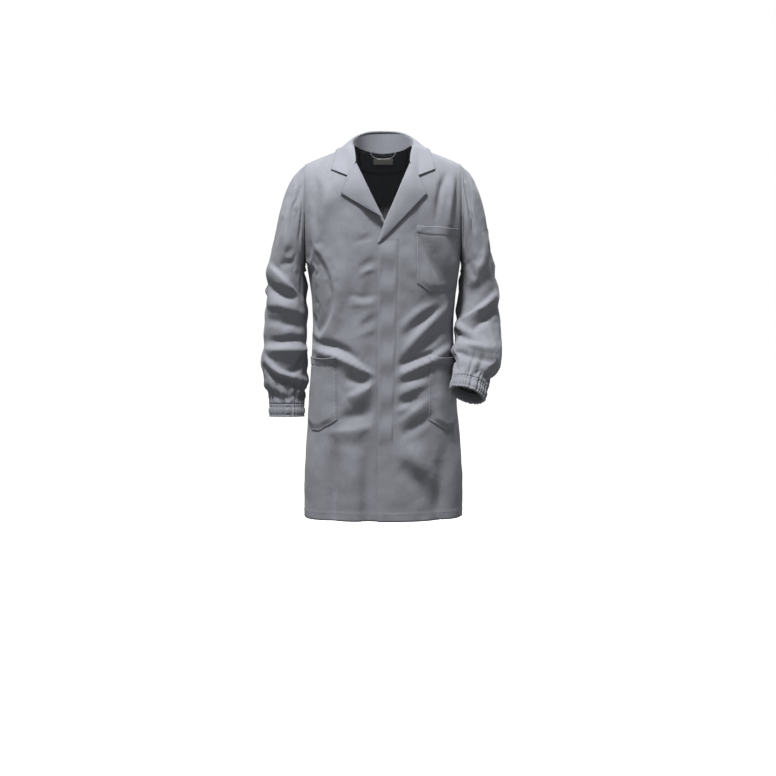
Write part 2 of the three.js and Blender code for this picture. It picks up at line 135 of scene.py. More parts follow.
def level(z, column):
    """A smooth curve through one column of LEVELS."""
    heights, values = LEVELS[:, 0], LEVELS[:, column]
    before = np.maximum(np.arange(len(heights)) - 1, 0)
    after = np.minimum(np.arange(len(heights)) + 1, len(heights) - 1)
    slopes = (values[after] - values[before]) / (heights[after] - heights[before])
    i = np.clip(np.searchsorted(heights, z) - 1, 0, len(heights) - 2)
    span = heights[i + 1] - heights[i]
    t = np.clip((z - heights[i]) / span, 0, 1)
    rise = (values[i + 1] - values[i]) * t * t * (3 - 2 * t)
    return values[i] + rise + slopes[i] * span * t * (1 - t) ** 2 - slopes[i + 1] * span * t * t * (1 - t)


def shoulder_line(x):
    out = np.maximum(np.abs(x) - NECK_HALF_WIDTH, 0)
    return SHOULDER_AT_NECK - 0.3 * out - 0.0006 * out * out


def section_depth(x, z):
    share = np.minimum(np.abs(x) / level(z, 1), 1)
    return level(z, 2) * (1 - share**SECTION_POWER) ** (1 / SECTION_POWER)


def on_body(side, x, z):
    """A point of the front (side -1) or back (side 1) of the body."""
    x, z = np.broadcast_arrays(np.asarray(x, float), np.asarray(z, float))
    left = np.clip(1 - (shoulder_line(x) - z) / SHOULDER_ROUND, 0, 1)
    return np.stack([x, side * section_depth(x, z) * np.sqrt(1 - left * left), z], axis=-1)


def over_shoulder(x, y):
    """The height of the shoulders above a point of the plan."""
    share = np.minimum(np.abs(y) / section_depth(x, np.full_like(np.asarray(x, float), -40)), 1)
    return shoulder_line(x) - SHOULDER_ROUND * (1 - np.sqrt(1 - share * share))


def ramp(value, start, end):
    """0 before start, 1 past end, and a smooth step between them."""
    t = np.clip((np.asarray(value, float) - start) / (end - start + 1e-9), 0, 1)
    return t * t * (3 - 2 * t)


# %% [markdown]
# ## Four panels
# The body is cut in four panels: two fronts and two backs. Each is a grid with s running from its
# inner edge to its side or armhole, and t from the hem to the shoulder. The fronts' inner edges run
# straight up to the break, and from there along the roll lines of the lapels.


# %% The panels' shapes
V_BOTTOM = (5, -192)


def front_edge(z, mirrored):
    """How far across the coat a front's inner edge lies, in that front's own half."""
    sign = -1 if mirrored else 1
    heights = [BREAK, V_BOTTOM[1], -33, SHOULDER_AT_NECK]
    return np.interp(z, heights, [sign * FRONT_EDGE, sign * V_BOTTOM[0], 73, NECK_HALF_WIDTH])


def side_edge(z):
    return np.where(z < UNDERARM, level(z, 1), ARMHOLE)


def neck_angle(x):
    """Where a back stops at the neck hole."""
    across = np.minimum(np.abs(x) / NECK_HALF_WIDTH, 1)
    depth = NECK_DEPTH * np.sqrt(1 - across * across)
    return np.arccos(np.clip(depth / section_depth(x, np.full_like(x, -20)), 0.0, 1))


class Panel:
    """One panel of the coat's body in the shape it hangs in."""

    def __init__(self, name, side, mirrored):
        self.name, self.side, self.mirrored = name, side, mirrored
        # which way the grid's own cross product points: 1 outwards, -1 inwards
        self.turn = -1 if (side < 0) == mirrored else 1
        self.draped = self.normals = None

    def inner(self, z):
        return front_edge(z, self.mirrored) if self.side < 0 else np.zeros_like(z)

    def across(self, s, z):
        inner = self.inner(z)
        return inner + (side_edge(z) - inner) * np.sin(s * np.pi / 2)

    def top(self, s):
        height = np.full_like(s, -20.0)
        for _ in range(8):
            height = shoulder_line(self.across(s, height))
        return height

    def place(self, s, t):
        s, t = np.broadcast_arrays(np.asarray(s, float), np.asarray(t, float))
        top = self.top(s)
        full = np.pi / 2 if self.side < 0 else neck_angle(self.across(s, top))
        angle = np.maximum(t - 1 + ROUND_SHARE, 0) / ROUND_SHARE * full
        straight = HEM + (top - SHOULDER_ROUND - HEM) * np.minimum(t / (1 - ROUND_SHARE), 1)
        z = np.where(t < 1 - ROUND_SHARE, straight, top - SHOULDER_ROUND * (1 - np.sin(angle)))
        points = on_body(self.side, self.across(s, z), z)
        if self.mirrored:
            points[..., 0] *= -1
        return points

    def shares(self, x, z):
        """The s and t of a point of the hanging shape."""
        x, z = np.broadcast_arrays(np.asarray(x, float), np.asarray(z, float))
        x = -x if self.mirrored else x
        inner = self.inner(z)
        s = np.arcsin(np.clip((x - inner) / (side_edge(z) - inner), -0.05, 1)) * 2 / np.pi
        top = self.top(np.clip(s, 0, 1))
        straight = (z - HEM) / (top - SHOULDER_ROUND - HEM) * (1 - ROUND_SHARE)
        full = np.pi / 2 if self.side < 0 else neck_angle(self.across(np.clip(s, 0, 1), top))
        angle = np.arcsin(np.clip(1 - (top - z) / SHOULDER_ROUND, 0, 1))
        rounded = 1 - ROUND_SHARE + ROUND_SHARE * angle / full
        return s, np.where(z < top - SHOULDER_ROUND, straight, rounded)


PANELS = {
    "left_front": Panel("left_front", -1, False),
    "left_back": Panel("left_back", 1, False),
    "right_back": Panel("right_back", 1, True),
    "right_front": Panel("right_front", -1, True),
}

# %% [markdown]
# ## Folds
# Cloth that is longer than the body under it gives way in ridges and hollows. Each one here is a
# smooth line across a panel with a height and a width, and its two sides may differ, because a fold
# that hangs over has one steep side. Small smooth noise keeps the cloth between them from looking
# pressed. The folds come first and a short cloth simulation then lets them settle together, since a
# simulation alone would put them anywhere.


# %% Helpers for folds
def curve_at(points, share):
    """A Catmull-Rom curve through the points, at shares of its run from 0 to 1."""
    points = np.asarray(points, float)
    if points.ndim == 1:
        points = points[:, None]
    padded = np.vstack([2 * points[0] - points[1], points, 2 * points[-1] - points[-2]])
    place = np.clip(np.asarray(share, float), 0, 1) * (len(points) - 1)
    i = np.minimum(place.astype(int), len(points) - 2)
    u = (place - i)[..., None]
    a, b, c, d = padded[i], padded[i + 1], padded[i + 2], padded[i + 3]
    bend, twist = 2 * a - 5 * b + 4 * c - d, 3 * b - a - 3 * c + d
    return 0.5 * (2 * b + (c - a) * u + bend * u**2 + twist * u**3)


def unit(vectors):
    return vectors / np.maximum(np.linalg.norm(vectors, axis=-1, keepdims=True), 1e-9)


FOLD_PARTS = 10
FOLD_DEPTH = 1.3


def fold(x, z, height, width, lean, points):
    """What one fold adds. A lean above 0 makes the side left of its run wide and the other steep."""
    line = curve_at(points, np.linspace(0, 1, FOLD_PARTS + 1))
    nearest = np.full(x.shape, np.inf)
    side = np.zeros(x.shape)
    along = np.zeros(x.shape)
    for i in range(FOLD_PARTS):
        step = line[i + 1] - line[i]
        to_x, to_z = x - line[i, 0], z - line[i, 1]
        share = np.clip((to_x * step[0] + to_z * step[1]) / (step @ step), 0, 1)
        off_x, off_z = to_x - share * step[0], to_z - share * step[1]
        distance = np.hypot(off_x, off_z)
        closer = distance < nearest
        nearest = np.where(closer, distance, nearest)
        side = np.where(closer, np.tanh((step[0] * off_z - step[1] * off_x) / (width * 4)), side)
        along = np.where(closer, (i + share) / FOLD_PARTS, along)
    reach = width * (1 + lean * side)
    ends = np.sin(np.pi * np.clip(along, 0.02, 0.98)) ** 0.7
    return height * ends * np.exp(-((nearest / reach) ** 2))


def ripple(points, size, seed):
    """Smooth noise from -1 to 1 whose lumps are size apart; size may differ along x, y and z."""
    places = np.asarray(points) / np.asarray(size, float) + seed
    values = [noise.noise(Vector(place)) for place in places.reshape(-1, 3)]
    return np.array(values).reshape(places.shape[:-1])


# height, width, lean, and the line's points across and up
FRONT_FOLDS = [
    # the hollow below the wearer's right arm and the ridge beside it
    (-14, 30, 0.0, [(-196, -270), (-170, -380), (-188, -490)]),
    (8, 18, 0.5, [(-192, -225), (-132, -320), (-122, -420), (-176, -524)]),
    # the waist folds of the right front
    (-8, 10, 0.3, [(-192, -506), (-120, -517), (-58, -549)]),
    (11, 13, -0.5, [(-176, -524), (-112, -540), (-8, -592)]),
    (-6, 12, 0.0, [(-98, -590), (-70, -600), (-30, -596)]),
    (8, 17, -0.4, [(-92, -650), (-56, -630), (-6, -602)]),
    (-4, 18, 0.0, [(-124, -704), (-74, -694), (-20, -668)]),
    (4, 16, -0.4, [(-142, -735), (-80, -730), (-20, -716)]),
    (-3, 16, 0.0, [(-110, -690), (-60, -690), (-24, -684)]),
    # the skirt of the right front
    (8, 26, 0.0, [(-172, -742), (-176, -880), (-180, -1040)]),
    (-11, 16, 0.0, [(-126, -730), (-130, -880), (-134, -1040)]),
    (6, 22, 0.0, [(-84, -760), (-80, -880), (-76, -1040)]),
    (-4, 16, 0.0, [(-40, -770), (-42, -880), (-46, -1040)]),
    # small pulls from the buttons of the fly
    (-2, 7, 0.0, [(-76, -247), (-45, -236), (-12, -230)]),
    (-2, 8, 0.0, [(-64, -316), (-36, -300), (-6, -291)]),
    (2, 9, 0.3, [(-70, -334), (-40, -320), (-4, -312)]),
    (-2.2, 8, 0.0, [(-96, -380), (-50, -386), (0, -378)]),
    (2, 10, 0.3, [(-90, -404), (-50, -406), (-2, -398)]),
    (-2, 8, 0.0, [(-58, -462), (-30, -446), (-4, -432)]),
    (2, 10, 0.3, [(-70, -486), (-30, -474), (-4, -456)]),
    # the hollows of the left shoulder
    (-5, 9, 0.0, [(164, -62), (150, -110), (134, -196)]),
    (-5, 9, 0.0, [(196, -60), (196, -130), (190, -210)]),
    (5, 10, 0.0, [(181, -66), (176, -130), (168, -214)]),
    # the hollows of the right shoulder
    (-3, 11, 0.0, [(-178, -62), (-172, -120), (-178, -200)]),
    (4, 14, 0.0, [(-152, -70), (-146, -140), (-158, -230)]),
    (-3, 18, 0.0, [(-104, -130), (-116, -200), (-90, -280)]),
    # the pull across the chest pocket
    (-7, 17, 0.3, [(88, -214), (120, -290), (168, -384)]),
    (5, 17, 0.0, [(132, -205), (160, -280), (190, -350)]),
    (3, 18, 0.0, [(60, -250), (84, -320), (110, -392)]),
    # the waist folds of the left front
    (4, 12, 0.3, [(134, -404), (90, -424), (40, -470)]),
    (-4, 11, 0.0, [(150, -412), (100, -446), (44, -498)]),
    (6, 13, 0.4, [(172, -406), (110, -462), (42, -538)]),
    (-6, 11, 0.0, [(176, -448), (120, -500), (60, -540)]),
    (-9, 9, 0.0, [(34, -566), (82, -542), (140, -534)]),
    (9, 12, 0.5, [(178, -512), (110, -552), (36, -588)]),
    (-5, 11, 0.0, [(120, -578), (80, -592), (30, -616)]),
    (5, 13, -0.4, [(118, -606), (76, -622), (30, -640)]),
    (-3, 10, 0.0, [(100, -642), (66, -652), (30, -664)]),
    (4, 10, 0.3, [(74, -668), (50, -674), (30, -680)]),
    (5, 15, 0.4, [(128, -646), (80, -680), (34, -716)]),
    (-4, 13, 0.0, [(134, -684), (90, -716), (40, -744)]),
    # the skirt of the left front
    (4, 22, 0.3, [(64, -764), (86, -800), (108, -846)]),
    (5, 26, 0.3, [(22, -768), (90, -820), (170, -890)]),
    (-4, 24, 0.0, [(40, -820), (90, -870), (140, -960)]),
    (6, 22, 0.0, [(188, -760), (186, -880), (184, -1040)]),
    (-6, 18, 0.0, [(150, -800), (148, -900), (146, -1040)]),
]
BACK_FOLDS = [
    (6, 22, 0.0, [(-120, -110), (-108, -230), (-66, -360)]),
    (6, 22, 0.0, [(126, -110), (112, -230), (70, -370)]),
    (-5, 20, 0.0, [(-80, -150), (-70, -260), (-30, -380)]),
    (-5, 20, 0.0, [(84, -160), (72, -270), (34, -390)]),
    (-5, 12, 0.0, [(-188, -110), (-180, -180), (-164, -250)]),
    (-5, 12, 0.0, [(186, -110), (180, -190), (160, -260)]),
    (6, 13, 0.4, [(-180, -380), (-110, -420), (-30, -436)]),
    (-5, 12, 0.0, [(-184, -420), (-110, -452), (-20, -466)]),
    (6, 14, -0.4, [(-170, -470), (-100, -486), (-16, -500)]),
    (-4, 13, 0.0, [(-140, -520), (-80, -528), (-20, -540)]),
    (6, 13, 0.4, [(182, -400), (110, -424), (40, -452)]),
    (-6, 12, 0.0, [(180, -446), (110, -462), (26, -490)]),
    (6, 15, -0.3, [(176, -500), (110, -506), (20, -522)]),
    (-4, 13, 0.0, [(150, -540), (90, -552), (24, -566)]),
    (7, 28, 0.0, [(-150, -560), (-146, -760), (-150, -985)]),
    (-7, 22, 0.0, [(-100, -620), (-96, -800), (-92, -985)]),
    (5, 24, 0.0, [(-50, -640), (-48, -800), (-46, -985)]),
    (7, 28, 0.0, [(140, -580), (146, -780), (152, -985)]),
    (-6, 22, 0.0, [(92, -640), (90, -800), (86, -985)]),
    (5, 22, 0.0, [(48, -650), (44, -800), (42, -985)]),
]


def under_lapel(x, z):
    """1 where a lapel lies on the front, which keeps the cloth below it flat."""
    width = np.interp(z, [-250, -121, -60, 0], [18, 64, 34, 20])
    return ramp(z, -262, -235) * (1 - ramp(np.abs(x) - front_edge(z, False), width, width + 26))


def body_relief(side, points):
    """How far the folds lift the cloth at points of the front (-1) or back (1), in mm."""
    x, y, z = points[..., 0], points[..., 1], points[..., 2]
    rise = np.zeros(x.shape)
    for height, width, lean, line in FRONT_FOLDS if side < 0 else BACK_FOLDS:
        rise += FOLD_DEPTH * fold(x, z, height, width, lean, line)
    rise *= ramp(side * y, 4, 50)
    angle = np.arctan2(x, -y * 1.35)
    skirt = ramp(-z, 560, 940)
    rise += skirt * 4 * np.sin(angle * 5 + 0.8)
    rise += 2.2 * ripple(points, (70, 70, 90), 3.1) + 1.3 * ripple(points, (30, 30, 34), 9.4)
    near_shoulder = ramp(shoulder_line(x) - z, 12, 80)
    near_arm = 1 - ramp(np.abs(x), ARMHOLE - 20, ARMHOLE - 2) * ramp(z, UNDERARM - 25, UNDERARM + 5)
    near_roll = np.where(side < 0, 1 - 0.9 * under_lapel(x, z), 1)
    return rise * near_shoulder * near_arm * near_roll


# %% [markdown]
# ## Draping the body
# The four panels are welded at their seams into one mesh. Its rest lengths are a little longer than
# the shape it starts in, as the cloth of a worn coat is, and Blender's cloth simulation lets it
# settle over a hidden form. The shoulders, armholes and lapel edges are held, as the wearer, the
# sleeves and the interlining hold them.

# %% The cloth simulation
COLUMNS, ROWS = 40, 140
BODY_FRAMES = 8
BODY_INSET = 19
SPARE_GIRTH = 0.003
SPARE_LENGTH = 0.003


def link(name, mesh):
    piece = bpy.data.objects.new(name, mesh)
    bpy.context.scene.collection.objects.link(piece)
    return piece


def grid_bmesh(columns, rows, place, join=None):
    """A bmesh of grids, one for each place function, with u and v from 0 to 1 in a layer."""
    bm = bmesh.new()
    for shape in place:
        made = bmesh.ops.create_grid(bm, x_segments=columns, y_segments=rows, size=0.5)["verts"]
        flat = np.array([v.co for v in made])
        points = shape(flat[:, 0] + 0.5, flat[:, 1] + 0.5) * MM
        for v, point in zip(made, points):
            v.co = point
    if join:
        bmesh.ops.remove_doubles(bm, verts=bm.verts, dist=join * MM)
    return bm


def to_mesh(bm, name):
    mesh = bpy.data.meshes.new(name)
    bm.to_mesh(mesh)
    bm.free()
    mesh.polygons.foreach_set("use_smooth", [True] * len(mesh.polygons))
    return mesh


def corners(mesh):
    out = np.empty(len(mesh.vertices) * 3)
    mesh.vertices.foreach_get("co", out)
    return out.reshape(-1, 3)


def from_array(points):
    """A place function that reads the corners of an array of rows and columns."""
    rows, columns = points.shape[:2]

    def shape(s, t):
        return points[np.rint(t * (rows - 1)).astype(int), np.rint(s * (columns - 1)).astype(int)]

    return shape


def facing_out(mesh):
    """Turns a mesh's faces outwards, as the simulation expects of the form."""
    bm = bmesh.new()
    bm.from_mesh(mesh)
    bmesh.ops.recalc_face_normals(bm, faces=bm.faces)
    bm.to_mesh(mesh)
    bm.free()
    return mesh


def drape(mesh, form, cut, held, frames, bending, quality, weight):
    """Lets the mesh settle towards the lengths of the cut positions, and gives back where it rests."""
    mesh, form = facing_out(mesh), facing_out(form)
    cloth = link("drape", mesh)
    cloth.shape_key_add(name="Basis")
    key = cloth.shape_key_add(name="cut")
    key.data.foreach_set("co", (cut * MM).ravel())
    key.value = 0.0
    group = cloth.vertex_groups.new(name="held")
    for i, share in enumerate(held):
        if share > 0:
            group.add([i], float(share), "REPLACE")
    body = link("form", form)
    body.modifiers.new("push", "COLLISION")
    body.collision.thickness_outer = 2 * MM
    body.collision.cloth_friction = 8
    modifier = cloth.modifiers.new("cloth", "CLOTH")
    settings = modifier.settings
    settings.rest_shape_key = cloth.data.shape_keys.key_blocks["cut"]
    settings.quality = quality
    settings.mass = 0.2
    settings.tension_stiffness = settings.compression_stiffness = 25
    settings.shear_stiffness = 8
    settings.bending_stiffness = bending
    settings.tension_damping = settings.compression_damping = 10
    settings.bending_damping = 1.0
    settings.air_damping = 2
    settings.vertex_group_mass = "held"
    settings.pin_stiffness = 1
    settings.effector_weights.gravity = weight
    modifier.collision_settings.distance_min = 2 * MM
    modifier.collision_settings.collision_quality = 2
    modifier.point_cache.frame_end = frames
    scene = bpy.context.scene
    scene.frame_start, scene.frame_end = 1, frames
    for number in range(1, frames + 1):
        scene.frame_set(number)
    settled = cloth.evaluated_get(bpy.context.evaluated_depsgraph_get())
    out = corners(settled.to_mesh()) / MM
    settled.to_mesh_clear()
    bpy.data.objects.remove(cloth)
    bpy.data.objects.remove(body)
    scene.frame_set(1)
    return out


def nearest_corner(points):
    """A search tree over points, and the function that looks a point up in it."""
    tree = kdtree.KDTree(len(points))
    for i, point in enumerate(points):
        tree.insert(point, i)
    tree.balance()
    return lambda places: np.array([tree.find(place)[1] for place in places.reshape(-1, 3)])


# %% The hidden form and the body's drape
def body_form(s, t):
    """The form inside the cloth: the hanging shape, a little smaller."""
    angle = s * 2 * np.pi
    z = HEM - 40 + t * (SHOULDER_AT_NECK - 12 - HEM + 40)
    width = level(z, 1) - BODY_INSET
    width = np.where(z > UNDERARM, np.minimum(width, ARMHOLE - BODY_INSET), width)
    x = width * np.sign(np.sin(angle)) * np.abs(np.sin(angle)) ** (2 / SECTION_POWER)
    points = on_body(1, x, z)
    depth = np.maximum(points[..., 1] - BODY_INSET, 0) * np.abs(np.cos(angle)) ** 0.02
    points[..., 1] = np.where(np.cos(angle) < 0, 1, -1) * depth
    return points


def fly_share(x, z):
    """1 on the stiff fly and 0 away from it."""
    return ramp(x, -34, -14) * (1 - ramp(x, 32, 52)) * (1 - ramp(z, -240, -225)) * ramp(z, -830, -770)


started = time.time()
s_grid, t_grid = np.meshgrid(np.linspace(0, 1, COLUMNS + 1), np.linspace(0, 1, ROWS + 1))
for panel in PANELS.values():
    flat = panel.place(s_grid, t_grid)
    out = unit(np.cross(np.gradient(flat, axis=1), np.gradient(flat, axis=0)))
    rise = body_relief(panel.side, flat)
    if panel.side < 0:
        # the buttoned fly is several plies thick, so it stays near its plain shape
        stiff = fly_share(flat[..., 0], flat[..., 2])
        rise = rise * (1 - stiff) + (0.4 + np.clip(rise * 0.3, -0.8, 1.5)) * stiff
    panel.draped = flat + out * panel.turn * rise[..., None]

body = grid_bmesh(COLUMNS, ROWS, [from_array(p.draped) for p in PANELS.values()], join=0.3)
body = to_mesh(body, "body")
folded = corners(body) / MM
look_up = nearest_corner(folded)
x, y, z = folded.T
ease = ramp(-z, 200, 420)
spare = np.minimum(z + 200, 0) * SPARE_LENGTH
girth = 1 + SPARE_GIRTH * ease
cut = np.stack([x * girth, y * girth, z + spare], axis=-1)
held = 1 - ramp(shoulder_line(x) - z, 25, 90)
at_armhole = ramp(np.abs(x), ARMHOLE - 22, ARMHOLE - 4) * ramp(z, UNDERARM - 20, UNDERARM + 40)
held = np.maximum(held, at_armhole)
held = np.maximum(held, (y < 0) * fly_share(x, z))
held = np.maximum(held, (y < 0) * under_lapel(x, z))
form = to_mesh(grid_bmesh(72, 60, [body_form], join=0.01), "form")
rested = drape(body, form, cut, held, BODY_FRAMES, 3.0, 4, 0.06)
for panel in PANELS.values():
    panel.draped = rested[look_up(panel.draped)].reshape(panel.draped.shape)
moved = np.linalg.norm(rested - folded, axis=1).max()
took = time.time() - started
print(f"body: {len(folded)} corners draped in {took:.0f} s, moved up to {moved:.0f} mm")

# %% [markdown]
# ## Laying things on the draped cloth
# Pockets, stitches and facings are placed by their spot on the coat, so they follow every fold. The
# draped grid is read with the same smooth curve between its corners that the folds use.


# %% Reading the draped cloth
def curve_weights(u):
    weights = [-u + 2 * u**2 - u**3, 2 - 5 * u**2 + 3 * u**3, u + 4 * u**2 - 3 * u**3, u**3 - u**2]
    return 0.5 * np.stack(weights)


def sample(field, s, t, round_and_round=False):
    """A smooth value between the corners of a grid; s may run around a tube."""
    rows, columns = field.shape[:2]
    if round_and_round:
        field = np.concatenate([field[:, -2:-1], field, field[:, 1:2]], axis=1)
    else:
        field = np.pad(field, ((0, 0), (1, 1), (0, 0)), mode="reflect", reflect_type="odd")
    field = np.pad(field, ((1, 1), (0, 0), (0, 0)), mode="reflect", reflect_type="odd")
    a, b = np.clip(s, 0, 1) * (columns - 1), np.clip(t, 0, 1) * (rows - 1)
    i = np.clip(a.astype(int), 0, columns - 2)
    j = np.clip(b.astype(int), 0, rows - 2)
    across, up = curve_weights(a - i), curve_weights(b - j)
    out = 0
    for m in range(4):
        for n in range(4):
            out = out + field[j + m, i + n] * (up[m] * across[n])[..., None]
    return out


for panel in PANELS.values():
    outward = np.cross(np.gradient(panel.draped, axis=1), np.gradient(panel.draped, axis=0))
    panel.normals = panel.turn * unit(outward)


def on_cloth(side, x, z, lift=0.0):
    """Points on the draped body, and the way it faces there, for spots of its hanging shape."""
    x, z = np.broadcast_arrays(np.asarray(x, float), np.asarray(z, float))
    left = x > (np.minimum(front_edge(z, False), 5) if side < 0 else 0)
    points = np.zeros(x.shape + (3,))
    normals = np.zeros(x.shape + (3,))
    for mirrored in (False, True):
        panel = PANELS[("right" if mirrored else "left") + ("_front" if side < 0 else "_back")]
        s, t = panel.shares(x, z)
        mine = (left != mirrored)[..., None]
        points = np.where(mine, sample(panel.draped, s, t), points)
        normals = np.where(mine, sample(panel.normals, s, t), normals)
    normals = unit(normals)
    return points + normals * np.broadcast_to(lift, x.shape)[..., None], normals


# %% [markdown]
# ## The sleeves' shape
# A sleeve is a tube between two lines: one down the outside of the arm and one down its inside. Its
# rings turn from the armhole, which faces sideways, to the wrist, which faces down. The wearer's
# right arm hangs; the left one is bent, with its forearm forwards and inwards.

# %% The sleeves' rings
HANGING = {
    "outer": [
        (204, 0, -46),
        (240, 0, -78),
        (266, 0, -135),
        (286, 0, -210),
        (302, 2, -291),
        (314, 4, -397),
        (317, 2, -503),
        (311, -4, -590),
        (299, -10, -672),
    ],
    "inner": [
        (204, 0, -299),
        (206, 0, -301),
        (208, 0, -304),
        (209, 0, -309),
        (209, 2, -330),
        (203, 4, -400),
        (201, 2, -503),
        (205, -4, -590),
        (212, -10, -672),
    ],
}
BENT = {
    "outer": [
        (204, 0, -46),
        (238, 0, -78),
        (260, 0, -135),
        (278, 0, -205),
        (294, 2, -291),
        (306, 6, -385),
        (307, 0, -470),
        (297, -48, -565),
        (262, -100, -632),
    ],
    "inner": [
        (204, 0, -299),
        (206, 0, -301),
        (208, 0, -304),
        (209, 0, -309),
        (209, 2, -330),
        (202, 2, -390),
        (197, -22, -450),
        (196, -86, -520),
        (184, -134, -588),
    ],
}
SLEEVE_DEPTHS = [72, 76, 74, 71, 66, 60, 56, 50, 37]


class Sleeve:
    """A sleeve in the shape it hangs in, with the ring across it at each share of its length."""

    def __init__(self, side, lines):
        self.side, self.lines = side, lines
        self.sign = 1 if side == "left" else -1
        self.draped = None

    def rings(self, v):
        outer, inner = curve_at(self.lines["outer"], v), curve_at(self.lines["inner"], v)
        middle = (outer + inner) / 2
        ahead = [curve_at(self.lines[k], np.minimum(v + 0.01, 1)) for k in ("outer", "inner")]
        behind = [curve_at(self.lines[k], np.maximum(v - 0.01, 0)) for k in ("outer", "inner")]
        along = unit(sum(ahead) - sum(behind))
        wide = unit(outer - inner)
        forward = unit(np.cross(along, wide))
        forward *= np.where(forward[..., 1:2] > 0, -1, 1)
        half_width = np.linalg.norm(outer - inner, axis=-1) / 2
        half_depth = curve_at(SLEEVE_DEPTHS, v)[..., 0]
        return middle, wide, forward, along, half_width, half_depth

    def place(self, turn, v, inset=0.0):
        """turn goes once around the arm from its inner side, v from the armhole to the wrist."""
        turn, v = np.broadcast_arrays(np.asarray(turn, float), np.asarray(v, float))
        middle, wide, forward, _, half_width, half_depth = self.rings(v)
        angle = (2 * np.pi * turn + np.pi)[..., None]
        across = (half_width - inset)[..., None]
        deep = (half_depth - inset)[..., None]
        points = middle + wide * np.cos(angle) * across + forward * np.sin(angle) * deep
        return points * np.array([self.sign, 1, 1])


SLEEVES = {"left": Sleeve("left", BENT), "right": Sleeve("right", HANGING)}

# %% [markdown]
# ## Draping the sleeves
# A sleeve is longer than the arm in it, because its elastic cuff stops it at the wrist, so the
# spare length stands in folds across it. They are placed like the body's, on the front of each
# sleeve, and slanting ripples carry them around the back. Just above the cuff the cloth gathers
# into pleats. The wearer's right sleeve is modelled in the left half and mirrored.

# %% The sleeves' folds
AROUND, ALONG = 64, 110
SLEEVE_FRAMES = 7
SLEEVE_FOLD_DEPTH = 1.5
PLEATS = 30
GATHER = 4.6
# height, width, lean, and the line's points across (outwards) and up
RIGHT_SLEEVE_FOLDS = [
    (5, 14, 0.4, [(252, -120), (262, -210), (246, -300)]),
    (-4, 12, 0.0, [(232, -110), (238, -190), (226, -290)]),
    (8, 14, 0.5, [(306, -300), (260, -344), (206, -404)]),
    (-8, 12, 0.0, [(312, -350), (270, -372), (214, -388)]),
    (8, 13, -0.4, [(314, -404), (260, -410), (200, -438)]),
    (-6, 12, 0.0, [(312, -444), (260, -446), (206, -462)]),
    (-9, 8, 0.0, [(304, -500), (250, -492), (196, -496)]),
    (9, 12, 0.5, [(314, -520), (250, -514), (196, -520)]),
    (8, 12, 0.3, [(312, -532), (276, -574), (204, -604)]),
    (-7, 10, 0.0, [(306, -556), (272, -596), (214, -624)]),
    (6, 11, 0.0, [(304, -600), (280, -630), (238, -650)]),
    (-5, 9, 0.0, [(214, -540), (226, -566), (250, -580)]),
]
LEFT_SLEEVE_FOLDS = [
    (6, 13, 0.0, [(246, -96), (262, -150), (270, -220)]),
    (-5, 11, 0.0, [(224, -110), (234, -170), (240, -260)]),
    (5, 16, 0.3, [(282, -230), (262, -300), (222, -360)]),
    (-5, 14, 0.0, [(292, -280), (270, -340), (230, -390)]),
    (9, 13, 0.5, [(308, -366), (260, -412), (192, -466)]),
    (-9, 11, 0.0, [(308, -400), (266, -438), (206, -482)]),
    (8, 11, 0.3, [(186, -452), (212, -470), (240, -470)]),
    (-6, 9, 0.0, [(200, -486), (236, -494), (270, -512)]),
    (7, 11, 0.3, [(222, -500), (252, -508), (286, -520)]),
    (-6, 10, 0.0, [(186, -530), (230, -534), (284, -552)]),
    (6, 11, 0.0, [(190, -556), (230, -560), (280, -582)]),
]


def sleeve_relief(sleeve, points, turn, v):
    """How far the folds lift a sleeve's cloth, in mm."""
    x, z = points[..., 0] * sleeve.sign, points[..., 2]
    front = ramp(-np.sin(2 * np.pi * turn), -0.05, 0.45)
    placed = np.zeros(x.shape)
    for height, width, lean, line in LEFT_SLEEVE_FOLDS if sleeve.side == "left" else RIGHT_SLEEVE_FOLDS:
        placed += SLEEVE_FOLD_DEPTH * fold(x, z, height, width, lean, line)
    wander = 0.9 * ripple(points, (90, 90, 110), 5.7)
    wave = np.sin(2 * np.pi * (v * 9 + wander + 0.45 * np.sin(2 * np.pi * turn + 0.6)))
    patchy = 0.35 + 0.65 * ramp(ripple(points, (60, 60, 70), 12.3), -0.3, 0.3)
    slanting = 5 * wave * patchy * ramp(v, 0.25, 0.5)
    fine = 2.0 * ripple(points, (40, 40, 40), 1.9) + 1.2 * ripple(points, (18, 18, 22), 7.5)
    rise = placed * front + slanting * (1 - 0.85 * front) + fine
    full = 4 * ramp(v, 0.3, 0.6) + 3 * ramp(v, 0.75, 0.93)
    return (rise * ramp(v, 0.015, 0.14) + full) * (1 - ramp(v, 0.87, 0.99))


def sleeve_form(sleeve, turn, v):
    thin = 14 + 8 * ramp(v, 0.2, 0.5) * (1 - ramp(v, 0.75, 1))
    middle, wide, forward, _, half_width, half_depth = sleeve.rings(v)
    angle = (2 * np.pi * turn + np.pi)[..., None]
    points = middle + wide * np.cos(angle) * (half_width - thin)[..., None]
    points = points + forward * np.sin(angle) * (half_depth - thin)[..., None]
    return points * np.array([sleeve.sign, 1, 1])


